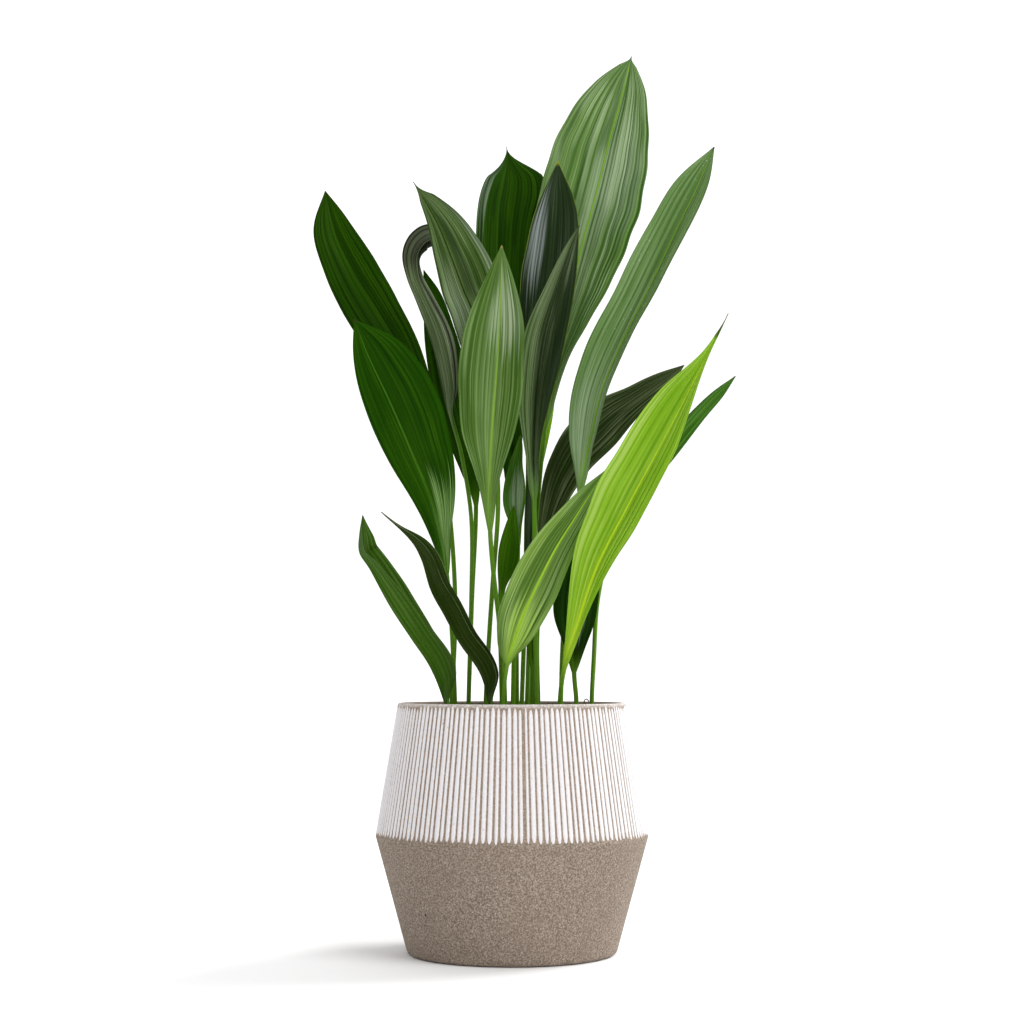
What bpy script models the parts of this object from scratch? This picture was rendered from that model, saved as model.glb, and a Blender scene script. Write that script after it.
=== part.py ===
"""A potted cast iron plant: a ribbed planter, its soil, one creeping rhizome and its leaves.

Metres, +Z up.  The origin is the centre of the planter's foot.  The front is -Y.
"""

import bmesh
import bpy
import numpy as np
from mathutils import Vector

NAME = "potted_cast_iron_plant"

# The planter: a turned shell that is widest at its waist.
POT_HEIGHT = 0.245
FOOT_RADIUS = 0.103
WAIST_RADIUS = 0.135
WAIST_HEIGHT = 0.115
RIM_RADIUS = 0.1135
WALL = 0.007
FLOOR = 0.010
EDGE_ROUND = 0.0025
WAIST_ROUND = 0.010
FOOT_ROUND = 0.005
TURN_STEPS = 72

# What lies in it.
FIT_GAP = 0.0003
SOIL_TOP = 0.222
RHIZOME_HEIGHT = 0.216
RHIZOME_RADIUS = 0.008
RUN_STAGGER = 0.0005
SEAT_HEIGHT = 0.2297
SEAT_RADIUS = 0.0036
SEAT_ROOT = 0.0033

# The leaves: a round stalk that widens into a thin, folded blade.
STALK_RADIUS = 0.0023
BLADE_THICKNESS = 0.0011
MIDRIB_THICKNESS = 0.0022
TIP_RADIUS = 0.0004
STALK_RINGS = 7
BLADE_RINGS = 19
STALK_MERGE = 0.15
SPAN_SAMPLES = 16

# Shares of a blade's length at which its half widths are given.
WIDTH_AT = (0.0, 0.15, 0.35, 0.55, 0.75, 0.90, 1.0)

# Each leaf: the run of its midrib from foot to tip, the point where the blade begins, the half
# widths to the left and right of the midrib, and at the blade's base, middle and tip its turn
# about the midrib and the fold of each half towards the upper face, in degrees.  A drawn-out tip
# starts at a share of the blade's length and narrows by a power.
LEAVES = {
    "leaf_left_rear": dict(
        path=[(-0.061, 0.040, 0.230), (-0.061, 0.041, 0.250), (-0.058, 0.044, 0.348),
              (-0.066, 0.055, 0.452), (-0.083, 0.075, 0.527), (-0.114, 0.100, 0.610),
              (-0.143, 0.120, 0.662), (-0.168, 0.137, 0.703), (-0.191, 0.153, 0.750),
              (-0.206, 0.170, 0.804)],
        blade_from=3, turn=(0, 0, 0), fold=(30, 15, 15),
        left=(0.013, 0.028, 0.036, 0.031, 0.021), right=(0.010, 0.017, 0.023, 0.026, 0.016)),
    "leaf_left_broad": dict(
        path=[(-0.057, 0.000, 0.230), (-0.057, 0.000, 0.250), (-0.060, -0.002, 0.317),
              (-0.065, -0.010, 0.372), (-0.0765, -0.022, 0.435), (-0.100, -0.042, 0.494),
              (-0.120, -0.062, 0.540), (-0.139, -0.080, 0.580), (-0.152, -0.094, 0.614)],
        blade_from=3, turn=(-8, -8, 0), fold=(30, 12, 12),
        left=(0.011, 0.020, 0.026, 0.023, 0.012), right=(0.013, 0.034, 0.046, 0.045, 0.030)),
    "leaf_left_striped": dict(
        path=[(-0.026, 0.000, 0.230), (-0.026, 0.000, 0.250), (-0.023, -0.001, 0.307),
              (-0.019, -0.004, 0.367), (-0.014, -0.008, 0.436), (-0.016, -0.012, 0.497),
              (-0.024, -0.017, 0.567), (-0.037, -0.020, 0.626), (-0.049, -0.021, 0.657),
              (-0.061, -0.026, 0.689), (-0.0755, -0.033, 0.723), (-0.098, -0.045, 0.761)],
        blade_from=5, turn=(20, 24, 24), fold=(30, 24, 24), nib=(0.93, 0.9),
        left=(0.012, 0.030, 0.033, 0.023, 0.010), right=(0.012, 0.030, 0.037, 0.031, 0.015)),
    "leaf_left_curled": dict(
        path=[(-0.0435, 0.018, 0.230), (-0.0435, 0.018, 0.250), (-0.041, 0.020, 0.348),
              (-0.041, 0.022, 0.429), (-0.050, 0.025, 0.490), (-0.058, 0.026, 0.522),
              (-0.067, 0.026, 0.552), (-0.076, 0.027, 0.592), (-0.084, 0.028, 0.620),
              (-0.097, 0.029, 0.654), (-0.107, 0.030, 0.679), (-0.112, 0.031, 0.702),
              (-0.107, 0.033, 0.721), (-0.094, 0.036, 0.734), (-0.077, 0.040, 0.737),
              (-0.062, 0.044, 0.731), (-0.051, 0.047, 0.716), (-0.045, 0.050, 0.696)],
        blade_from=5, turn=(90, 90, 90), fold=(60, 50, 42),
        left=(0.014, 0.018, 0.015, 0.034, 0.024), right=(0.018, 0.029, 0.020, 0.028, 0.020)),
    "leaf_left_inner": dict(
        path=[(-0.044, 0.045, 0.230), (-0.044, 0.045, 0.250), (-0.041, 0.046, 0.348),
              (-0.037, 0.048, 0.446), (-0.043, 0.049, 0.482), (-0.053, 0.050, 0.524),
              (-0.064, 0.052, 0.571), (-0.073, 0.053, 0.618), (-0.082, 0.055, 0.660),
              (-0.092, 0.057, 0.693)],
        blade_from=3, turn=(0, 0, 0), fold=(30, 12, 12),
        left=(0.011, 0.018, 0.020, 0.016, 0.008), right=(0.009, 0.017, 0.020, 0.015, 0.009)),
    "leaf_top_dark": dict(
        path=[(0.005, 0.040, 0.230), (0.005, 0.040, 0.250), (0.004, 0.046, 0.348),
              (0.002, 0.056, 0.453), (-0.002, 0.070, 0.537), (-0.007, 0.095, 0.637),
              (-0.009, 0.118, 0.717), (-0.007, 0.135, 0.774), (-0.003, 0.150, 0.812),
              (-0.006, 0.175, 0.855)],
        blade_from=2, turn=(0, 0, 0), fold=(30, 12, 12), nib=(0.905, 0.9),
        left=(0.006, 0.014, 0.025, 0.031, 0.025), right=(0.006, 0.014, 0.028, 0.036, 0.039)),
    "leaf_top_blue": dict(
        path=[(0.010, 0.012, 0.230), (0.010, 0.012, 0.250), (0.014, 0.013, 0.347),
              (0.021, 0.015, 0.449), (0.026, 0.016, 0.530), (0.032, 0.017, 0.613),
              (0.038, 0.016, 0.684), (0.043, 0.014, 0.746), (0.047, 0.012, 0.797)],
        blade_from=2, turn=(-5, -5, -5), fold=(30, 15, 15),
        left=(0.007, 0.011, 0.024, 0.028, 0.017), right=(0.004, 0.005, 0.021, 0.030, 0.023)),
    "leaf_top_broad": dict(
        path=[(0.0155, 0.058, 0.230), (0.0155, 0.058, 0.250), (0.0195, 0.060, 0.349),
              (0.027, 0.063, 0.453), (0.034, 0.066, 0.526), (0.047, 0.071, 0.611),
              (0.062, 0.077, 0.675), (0.079, 0.084, 0.742), (0.092, 0.092, 0.791),
              (0.105, 0.101, 0.844), (0.119, 0.112, 0.895), (0.130, 0.130, 0.943)],
        blade_from=4, turn=(-4, -4, -4), fold=(30, 10, 10), nib=(0.97, 0.8),
        left=(0.013, 0.037, 0.058, 0.053, 0.031), right=(0.013, 0.037, 0.050, 0.043, 0.023)),
    "leaf_centre_folded": dict(
        path=[(0.024, -0.012, 0.230), (0.024, -0.012, 0.250), (0.023, -0.014, 0.347),
              (0.022, -0.016, 0.446), (0.021, -0.017, 0.506), (0.024, -0.018, 0.561),
              (0.031, -0.018, 0.612), (0.044, -0.018, 0.657), (0.057, -0.017, 0.696),
              (0.068, -0.016, 0.724)],
        blade_from=3, turn=(0, 0, 0), fold=(58, 58, 58),
        left=(0.014, 0.032, 0.034, 0.020, 0.010), right=(0.011, 0.019, 0.022, 0.018, 0.010)),
    "leaf_rear_lime": dict(
        path=[(0.020, 0.078, 0.230), (0.020, 0.078, 0.250), (0.022, 0.080, 0.371),
              (0.024, 0.083, 0.465), (0.028, 0.086, 0.528), (0.034, 0.088, 0.582),
              (0.044, 0.090, 0.635), (0.054, 0.092, 0.684)],
        blade_from=3, turn=(0, 0, 0), fold=(30, 15, 15),
        left=(0.009, 0.016, 0.018, 0.014, 0.007), right=(0.009, 0.014, 0.013, 0.010, 0.006)),
    "leaf_centre_front": dict(
        path=[(-0.010, -0.034, 0.230), (-0.010, -0.034, 0.250), (-0.012, -0.036, 0.316),
              (-0.018, -0.038, 0.370), (-0.0215, -0.040, 0.414), (-0.0215, -0.042, 0.464),
              (-0.0185, -0.045, 0.522), (-0.0155, -0.047, 0.562), (-0.0125, -0.056, 0.606),
              (-0.0105, -0.068, 0.649), (-0.010, -0.082, 0.689)],
        blade_from=4, turn=(-18, -18, -18), fold=(35, 20, 20),
        left=(0.011, 0.031, 0.038, 0.031, 0.014), right=(0.012, 0.030, 0.034, 0.029, 0.014)),
    "leaf_front_right": dict(
        path=[(-0.009, -0.056, 0.230), (-0.009, -0.057, 0.250), (-0.005, -0.060, 0.282),
              (0.002, -0.064, 0.306), (0.012, -0.068, 0.333), (0.025, -0.074, 0.361),
              (0.042, -0.084, 0.394), (0.063, -0.096, 0.427), (0.088, -0.107, 0.466)],
        blade_from=2, turn=(20, 20, 20), fold=(30, 15, 15),
        left=(0.027, 0.032, 0.029, 0.020, 0.010), right=(0.016, 0.022, 0.019, 0.014, 0.008)),
    "leaf_right_lime": dict(
        path=[(0.0465, -0.058, 0.230), (0.0465, -0.059, 0.250), (0.0505, -0.063, 0.279),
              (0.062, -0.074, 0.316), (0.081, -0.096, 0.374), (0.110, -0.124, 0.432),
              (0.143, -0.146, 0.494), (0.169, -0.160, 0.544), (0.1885, -0.168, 0.582),
              (0.200, -0.172, 0.606)],
        blade_from=2, turn=(-25, -30, -38), fold=(30, 30, 38), nib=(0.94, 0.8),
        left=(0.014, 0.030, 0.034, 0.026, 0.005), right=(0.009, 0.024, 0.032, 0.023, 0.003)),
    "leaf_right_shade": dict(
        path=[(0.0635, -0.012, 0.230), (0.0635, -0.013, 0.250), (0.0615, -0.014, 0.275),
              (0.0615, -0.018, 0.317), (0.064, -0.022, 0.356), (0.071, -0.026, 0.396),
              (0.081, -0.030, 0.433)],
        blade_from=2, turn=(0, 0, 0), fold=(30, 15, 15),
        left=(0.010, 0.022, 0.022, 0.015, 0.008), right=(0.012, 0.022, 0.022, 0.014, 0.007)),
    "leaf_right_tall": dict(
        path=[(0.049, 0.006, 0.230), (0.049, 0.006, 0.250), (0.051, 0.006, 0.307),
              (0.057, 0.004, 0.387), (0.068, 0.002, 0.453), (0.080, 0.000, 0.508),
              (0.0915, -0.008, 0.558), (0.114, -0.018, 0.611), (0.1395, -0.029, 0.662),
              (0.163, -0.040, 0.712), (0.1835, -0.050, 0.754), (0.200, -0.058, 0.793)],
        blade_from=4, turn=(-38, -38, -28), fold=(38, 38, 28),
        left=(0.023, 0.032, 0.030, 0.028, 0.020), right=(0.012, 0.022, 0.026, 0.024, 0.018)),
    "leaf_right_rear": dict(
        path=[(0.0265, 0.032, 0.230), (0.0265, 0.032, 0.250), (0.0255, 0.033, 0.307),
              (0.0295, 0.037, 0.389), (0.040, 0.043, 0.445), (0.0615, 0.056, 0.494),
              (0.096, 0.076, 0.535), (0.134, 0.095, 0.566), (0.184, 0.116, 0.602)],
        blade_from=3, turn=(0, 0, 0), fold=(20, 15, 15),
        left=(0.010, 0.021, 0.025, 0.015, 0.008), right=(0.012, 0.021, 0.026, 0.017, 0.011)),
    "leaf_right_thin": dict(
        path=[(0.080, 0.010, 0.230), (0.080, 0.010, 0.250), (0.082, 0.010, 0.287),
              (0.086, 0.008, 0.347), (0.098, 0.006, 0.397), (0.122, 0.004, 0.451),
              (0.157, 0.002, 0.501), (0.1935, 0.000, 0.544), (0.2255, 0.000, 0.573)],
        blade_from=4, turn=(60, 60, 60), fold=(30, 15, 15),
        left=(0.009, 0.016, 0.018, 0.016, 0.010), right=(0.009, 0.015, 0.016, 0.015, 0.010)),
    "leaf_centre_young": dict(
        path=[(0.001, -0.006, 0.230), (0.001, -0.006, 0.250), (0.003, -0.005, 0.327),
              (0.006, -0.003, 0.401), (0.003, -0.001, 0.451), (0.009, 0.000, 0.514)],
        blade_from=3, turn=(0, 0, 0), fold=(30, 15, 15),
        left=(0.006, 0.012, 0.012, 0.008, 0.004), right=(0.005, 0.010, 0.010, 0.005, 0.003)),
    "leaf_centre_small": dict(
        path=[(-0.007, -0.020, 0.230), (-0.007, -0.020, 0.250), (-0.009, -0.021, 0.307),
              (-0.011, -0.022, 0.346), (-0.006, -0.023, 0.391), (0.002, -0.024, 0.440)],
        blade_from=3, turn=(0, 0, 0), fold=(30, 15, 15),
        left=(0.004, 0.007, 0.008, 0.006, 0.003), right=(0.005, 0.012, 0.013, 0.008, 0.004)),
    "leaf_front_left": dict(
        path=[(-0.062, -0.047, 0.230), (-0.0635, -0.048, 0.244), (-0.078, -0.052, 0.280),
              (-0.097, -0.064, 0.309), (-0.1165, -0.078, 0.339), (-0.135, -0.090, 0.373),
              (-0.145, -0.097, 0.389), (-0.145, -0.101, 0.406), (-0.142, -0.105, 0.424)],
        blade_from=0.5, turn=(80, 80, 60), fold=(60, 60, 45),
        left=(0.020, 0.023, 0.024, 0.019, 0.014), right=(0.020, 0.023, 0.024, 0.020, 0.015)),
    "leaf_front_olive": dict(
        path=[(-0.020, -0.052, 0.230), (-0.021, -0.052, 0.244), (-0.030, -0.054, 0.275),
              (-0.050, -0.057, 0.304), (-0.065, -0.060, 0.331), (-0.078, -0.064, 0.355),
              (-0.087, -0.069, 0.384), (-0.099, -0.074, 0.404), (-0.126, -0.080, 0.429)],
        blade_from=0.5, turn=(80, 80, 70), fold=(60, 60, 60),
        left=(0.017, 0.019, 0.019, 0.014, 0.003), right=(0.017, 0.020, 0.020, 0.015, 0.003)),
    "leaf_centre_short": dict(
        path=[(0.0215, 0.045, 0.230), (0.0215, 0.045, 0.250), (0.0215, 0.045, 0.277),
              (0.0205, 0.045, 0.308), (0.0245, 0.046, 0.343), (0.031, 0.047, 0.374)],
        blade_from=2, turn=(0, 0, 0), fold=(30, 15, 15),
        left=(0.005, 0.007, 0.007, 0.005, 0.002), right=(0.005, 0.007, 0.007, 0.005, 0.002)),
}

# The rhizome's runs, seen from above.
RHIZOME_RUNS = [
    [(-0.080, 0.004), (-0.057, 0.000), (-0.026, 0.000), (0.001, -0.006), (0.026, -0.008),
     (0.049, 0.002), (0.0635, -0.006), (0.080, 0.006), (0.090, 0.012)],
    [(-0.072, -0.044), (-0.057, -0.047), (-0.036, -0.050), (-0.013, -0.053), (0.020, -0.059),
     (0.0465, -0.058), (0.060, -0.053)],
    [(-0.072, 0.037), (-0.061, 0.040), (-0.037, 0.044), (-0.015, 0.046), (0.005, 0.041),
     (0.0215, 0.044)],
    [(-0.013, -0.053), (-0.010, -0.034), (-0.006, -0.020), (0.001, -0.006), (0.010, 0.012),
     (0.0265, 0.032), (0.0215, 0.045), (0.016, 0.059), (0.020, 0.084)],
    [(-0.050, 0.000), (-0.0435, 0.018), (-0.037, 0.044)],
]

# Plain stand-in colours.
LEAF_COLOURS = {
    "leaf_left_rear": (0.022, 0.092, 0.006),
    "leaf_left_broad": (0.026, 0.110, 0.010),
    "leaf_left_striped": (0.070, 0.140, 0.060),
    "leaf_left_curled": (0.110, 0.170, 0.110),
    "leaf_left_inner": (0.035, 0.130, 0.004),
    "leaf_top_dark": (0.012, 0.070, 0.004),
    "leaf_top_blue": (0.030, 0.075, 0.045),
    "leaf_top_broad": (0.180, 0.290, 0.160),
    "leaf_centre_folded": (0.080, 0.130, 0.070),
    "leaf_rear_lime": (0.130, 0.320, 0.006),
    "leaf_centre_front": (0.130, 0.250, 0.080),
    "leaf_front_right": (0.090, 0.220, 0.050),
    "leaf_right_lime": (0.300, 0.540, 0.030),
    "leaf_right_shade": (0.006, 0.035, 0.002),
    "leaf_right_tall": (0.070, 0.170, 0.060),
    "leaf_right_rear": (0.028, 0.058, 0.015),
    "leaf_right_thin": (0.050, 0.160, 0.025),
    "leaf_centre_young": (0.070, 0.220, 0.008),
    "leaf_centre_small": (0.030, 0.110, 0.006),
    "leaf_front_left": (0.045, 0.130, 0.012),
    "leaf_front_olive": (0.030, 0.060, 0.014),
    "leaf_centre_short": (0.050, 0.100, 0.010),
}


def clear_scene():
    for thing in list(bpy.data.objects):
        bpy.data.objects.remove(thing, do_unlink=True)


def make_collection(name):
    collection = bpy.data.collections.new(name)
    bpy.context.scene.collection.children.link(collection)
    return collection


def make_material(name, colour, roughness, metallic=0.0):
    material = bpy.data.materials.new(name)
    material.use_nodes = True
    shader = material.node_tree.nodes["Principled BSDF"]
    shader.inputs["Base Color"].default_value = (*colour, 1.0)
    shader.inputs["Roughness"].default_value = roughness
    shader.inputs["Metallic"].default_value = metallic
    return material


def add_object(name, mesh, collection, material=None):
    thing = bpy.data.objects.new(name, mesh)
    collection.objects.link(thing)
    if material:
        mesh.materials.append(material)
    return thing


def make_cutter(thing):
    thing.hide_render = True
    thing.display_type = "WIRE"


def turned(name, profile, collection, material=None):
    """A turned solid from (radius, height) pairs that run from the axis round to the axis."""
    mesh = bpy.data.meshes.new(name)
    points = [(radius, 0.0, height) for radius, height in profile]
    edges = [(i, i + 1) for i in range(len(points) - 1)]
    mesh.from_pydata(points, edges, [])
    thing = add_object(name, mesh, collection, material)
    screw = thing.modifiers.new("turn", "SCREW")
    screw.steps = TURN_STEPS
    screw.render_steps = TURN_STEPS
    screw.use_merge_vertices = True
    screw.merge_threshold = 0.00005
    return thing


def rounded(corner, before, after, radius, steps=3):
    """The points of an arc that rounds a profile's corner."""
    corner, before, after = Vector(corner), Vector(before), Vector(after)
    to_before = (before - corner).normalized()
    to_after = (after - corner).normalized()
    half = to_before.angle(to_after) / 2.0
    reach = radius / np.tan(half)
    centre = corner + (to_before + to_after).normalized() * (radius / np.sin(half))
    start = corner + to_before * reach - centre
    end = corner + to_after * reach - centre
    spokes = [start.lerp(end, k / steps).normalized() * radius for k in range(steps + 1)]
    return [tuple(centre + spoke) for spoke in spokes]


def inner_wall(gap=0.0):
    """The planter's inside from rim to floor, moved inwards by a gap."""
    return [(RIM_RADIUS - WALL - gap, POT_HEIGHT),
            (WAIST_RADIUS - WALL - gap, WAIST_HEIGHT),
            (FOOT_RADIUS - WALL - gap, FLOOR + gap)]


def smooth_run(points, samples=SPAN_SAMPLES):
    """A dense curve through hand-set points (Catmull-Rom)."""
    points = np.array(points, float)
    ends = np.vstack([2 * points[0] - points[1], points, 2 * points[-1] - points[-2]])
    run = []
    for i in range(len(points) - 1):
        a, b, c, d = ends[i:i + 4]
        for u in np.arange(samples) / samples:
            run.append(0.5 * (2 * b + (c - a) * u + (2 * a - 5 * b + 4 * c - d) * u ** 2
                              + (3 * b - a - 3 * c + d) * u ** 3))
    run.append(points[-1])
    return np.array(run)


def lengths_along(run):
    return np.concatenate([[0.0], np.cumsum(np.linalg.norm(np.diff(run, axis=0), axis=1))])


def unit(vector):
    return vector / np.linalg.norm(vector)


def eased(values, t):
    """A value at the base, the middle and the tip, blended smoothly along the blade."""
    base, middle, tip = values
    if t < 0.5:
        u = t / 0.5
        start, end = base, middle
    else:
        u = (t - 0.5) / 0.5
        start, end = middle, tip
    return start + (end - start) * u * u * (3 - 2 * u)


def half_width(values, t):
    """A blade's half width, eased through its given values from the stalk to the tip."""
    knots = np.array(WIDTH_AT)
    widths = np.array([STALK_RADIUS, *values, TIP_RADIUS])
    slopes = np.gradient(widths, knots)
    k = int(np.clip(np.searchsorted(knots, t) - 1, 0, len(knots) - 2))
    span = knots[k + 1] - knots[k]
    u = (t - knots[k]) / span
    return ((2 * u ** 3 - 3 * u ** 2 + 1) * widths[k] + (u ** 3 - 2 * u ** 2 + u) * span * slopes[k]
            + (3 * u ** 2 - 2 * u ** 3) * widths[k + 1] + (u ** 3 - u ** 2) * span * slopes[k + 1])


def tip_share(leaf, t):
    """How much of its width a blade keeps where its tip is drawn out."""
    start, power = leaf.get("nib", (1.0, 1.0))
    if t <= start:
        return 1.0
    return ((1.0 - t) / (1.0 - start)) ** power


def leaf_rings(leaf):
    """The rings of a leaf's loft, from the foot of its stalk to its tip."""
    run = smooth_run(leaf["path"])
    length = lengths_along(run)
    blade_start = length[int(leaf["blade_from"] * SPAN_SAMPLES)]
    stalk_at = np.linspace(0.0, blade_start, STALK_RINGS, endpoint=False)
    blade_at = np.linspace(blade_start, length[-1], BLADE_RINGS)
    rings = []
    for at in np.concatenate([stalk_at, blade_at]):
        centre = np.array([np.interp(at, length, run[:, k]) for k in range(3)])
        ahead = np.array([np.interp(at + 0.002, length, run[:, k]) for k in range(3)])
        behind = np.array([np.interp(at - 0.002, length, run[:, k]) for k in range(3)])
        along = unit(ahead - behind)
        if at == 0.0:
            along = np.array([0.0, 0.0, 1.0])
        t = max(0.0, (at - blade_start) / (length[-1] - blade_start))
        rings.append(leaf_ring(leaf, centre, along, t))
    return rings


def leaf_ring(leaf, centre, along, t):
    """Eight points round a leaf: a circle on the stalk, a folded lens on the blade."""
    level = unit(np.cross(np.array([0.0, 1.0, 0.0]), along))
    turn = np.radians(eased(leaf["turn"], t))
    across = level * np.cos(turn) + np.cross(along, level) * np.sin(turn)
    upper = np.cross(across, along)
    fold = np.radians(eased(leaf["fold"], t))
    stalk = STALK_RADIUS * (1.0 - t) + TIP_RADIUS * t
    left = max(half_width(leaf["left"], t) * tip_share(leaf, t), TIP_RADIUS)
    right = max(half_width(leaf["right"], t) * tip_share(leaf, t), TIP_RADIUS)
    merge = min(t / STALK_MERGE, 1.0)
    merge = merge * merge * (3 - 2 * merge)
    thick_mid = stalk * (1 - merge) + min(MIDRIB_THICKNESS / 2.0, stalk) * merge
    thick_side = 0.707 * stalk * (1 - merge) + min(BLADE_THICKNESS / 2.0, stalk) * merge
    side = 0.707 * (1 - merge) + 0.5 * merge
    steps = [(-1.0, 0.0), (-side, thick_side), (0.0, thick_mid), (side, thick_side),
             (1.0, 0.0), (side, -thick_side), (0.0, -thick_mid), (-side, -thick_side)]
    ring = []
    for sideways, lift in steps:
        reach = abs(sideways) * (right if sideways > 0 else left)
        rise = reach * np.sin(fold) * merge
        out = np.sign(sideways) * reach * (1 - merge + np.cos(fold) * merge)
        ring.append(centre + across * out + upper * (rise + lift))
    return ring


def loft(name, rings, collection, material):
    """A closed solid through rings that have the same number of points.

    The first half of each ring's sides is split along one diagonal and the second half along the
    other, so that a thin blade's two faces bend alike.
    """
    mesh = bpy.data.meshes.new(name)
    shape = bmesh.new()
    loops = [[shape.verts.new(point) for point in ring] for ring in rings]
    count = len(loops[0])
    for lower, upper in zip(loops, loops[1:]):
        for k in range(count):
            after = (k + 1) % count
            if k < count // 2:
                shape.faces.new((lower[k], lower[after], upper[after]))
                shape.faces.new((lower[k], upper[after], upper[k]))
            else:
                shape.faces.new((lower[k], lower[after], upper[k]))
                shape.faces.new((lower[after], upper[after], upper[k]))
    shape.faces.new(list(reversed(loops[0])))
    shape.faces.new(loops[-1])
    bmesh.ops.recalc_face_normals(shape, faces=shape.faces)
    shape.to_mesh(mesh)
    shape.free()
    mesh.shade_smooth()
    mesh.set_sharp_from_angle(angle=np.radians(60))
    return add_object(name, mesh, collection, material)


def tube_mesh(name, points, radius):
    """A round tube with closed ends, as a mesh object's data."""
    curve = bpy.data.curves.new(name, "CURVE")
    curve.dimensions = "3D"
    curve.bevel_depth = radius
    curve.bevel_resolution = 2
    curve.use_fill_caps = True
    spline = curve.splines.new("POLY")
    spline.points.add(len(points) - 1)
    for knot, point in zip(spline.points, points):
        knot.co = (*point, 1.0)
    guide = bpy.data.objects.new(name, curve)
    bpy.context.scene.collection.objects.link(guide)
    bpy.context.view_layer.update()
    evaluated = guide.evaluated_get(bpy.context.evaluated_depsgraph_get())
    mesh = bpy.data.meshes.new_from_object(evaluated)
    bpy.data.objects.remove(guide, do_unlink=True)
    shape = bmesh.new()
    shape.from_mesh(mesh)
    bmesh.ops.remove_doubles(shape, verts=shape.verts, dist=0.00001)
    bmesh.ops.recalc_face_normals(shape, faces=shape.faces)
    shape.to_mesh(mesh)
    shape.free()
    return mesh


def add_boolean(target, other, operation):
    cut = target.modifiers.new(other.name, "BOOLEAN")
    cut.operation = operation
    cut.solver = "EXACT"
    cut.object = other


def rhizome_body(name, collection, cutters, grow=0.0, material=None):
    """All the rhizome's runs and leaf seats as one solid, fatter by grow."""
    body = None
    for index, run in enumerate(RHIZOME_RUNS):
        height = RHIZOME_HEIGHT - RUN_STAGGER * index
        way = smooth_run(run, samples=3)
        way[0] += unit(way[0] - way[1]) * grow
        way[-1] += unit(way[-1] - way[-2]) * grow
        points = [(x, y, height) for x, y in way]
        mesh = tube_mesh(f"{name}_run_{index}", points, RHIZOME_RADIUS + grow)
        if body is None:
            body = add_object(name, mesh, collection, material)
            continue
        piece = add_object(f"{name}_run_{index}", mesh, cutters)
        make_cutter(piece)
        add_boolean(body, piece, "UNION")
    seats = bmesh.new()
    seat_foot = RHIZOME_HEIGHT - SEAT_ROOT
    seat_depth = SEAT_HEIGHT + grow - seat_foot
    for leaf in LEAVES.values():
        x, y, _ = leaf["path"][0]
        made = bmesh.ops.create_cone(seats, cap_ends=True, segments=10, depth=seat_depth,
                                     radius1=SEAT_RADIUS + grow, radius2=SEAT_RADIUS + grow)
        bmesh.ops.translate(seats, verts=made["verts"],
                            vec=(x, y, seat_foot + seat_depth / 2.0))
    seat_mesh = bpy.data.meshes.new(f"{name}_seats")
    seats.to_mesh(seat_mesh)
    seats.free()
    seat_piece = add_object(f"{name}_seats", seat_mesh, cutters)
    make_cutter(seat_piece)
    add_boolean(body, seat_piece, "UNION")
    return body


def make_pot(collection):
    foot_corner = (FOOT_RADIUS, 0.0)
    waist = (WAIST_RADIUS, WAIST_HEIGHT)
    rim = (RIM_RADIUS, POT_HEIGHT)
    rim_inside, waist_inside, floor_corner = inner_wall()
    profile = [(0.0, FLOOR), floor_corner, waist_inside]
    profile += rounded(rim_inside, waist_inside, rim, EDGE_ROUND)
    profile += rounded(rim, rim_inside, waist, EDGE_ROUND)
    profile += rounded(waist, rim, foot_corner, WAIST_ROUND)
    profile += rounded(foot_corner, waist, (0.0, 0.0), FOOT_ROUND)
    profile += [(0.0, 0.0)]
    material = make_material("pot_stoneware", (0.42, 0.38, 0.34), 0.75)
    pot = turned("pot", profile, collection, material)
    return pot


def make_soil(collection, cutters):
    rim_inside, waist_inside, floor_corner = inner_wall(FIT_GAP)
    share = (SOIL_TOP - WAIST_HEIGHT) / (POT_HEIGHT - WAIST_HEIGHT)
    top_radius = waist_inside[0] + (rim_inside[0] - waist_inside[0]) * share
    profile = [(0.0, SOIL_TOP), (top_radius, SOIL_TOP), waist_inside, floor_corner,
               (0.0, FLOOR + FIT_GAP)]
    soil = turned("soil", profile, collection, make_material("soil_mix", (0.045, 0.030, 0.020), 0.95))
    trench = rhizome_body("trench", cutters, cutters, grow=FIT_GAP)
    make_cutter(trench)
    add_boolean(soil, trench, "DIFFERENCE")
    return soil


def main():
    clear_scene()
    parts = make_collection(NAME)
    cutters = make_collection("cutters")
    make_pot(parts)
    make_soil(parts, cutters)
    bark = make_material("rhizome_bark", (0.14, 0.11, 0.05), 0.8)
    rhizome_body("rhizome", parts, cutters, material=bark)
    for name, leaf in LEAVES.items():
        material = make_material(name, LEAF_COLOURS[name], 0.4)
        loft(name, leaf_rings(leaf), parts, material)


main()
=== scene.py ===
"""The potted cast iron plant to look at: veined leaves, a ribbed stoneware planter and a pale studio.

Metres, +Z up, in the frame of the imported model.  The front is -Y.
"""

import bmesh
import bpy
import numpy as np
from mathutils import Euler, Matrix, Vector, noise


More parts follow.
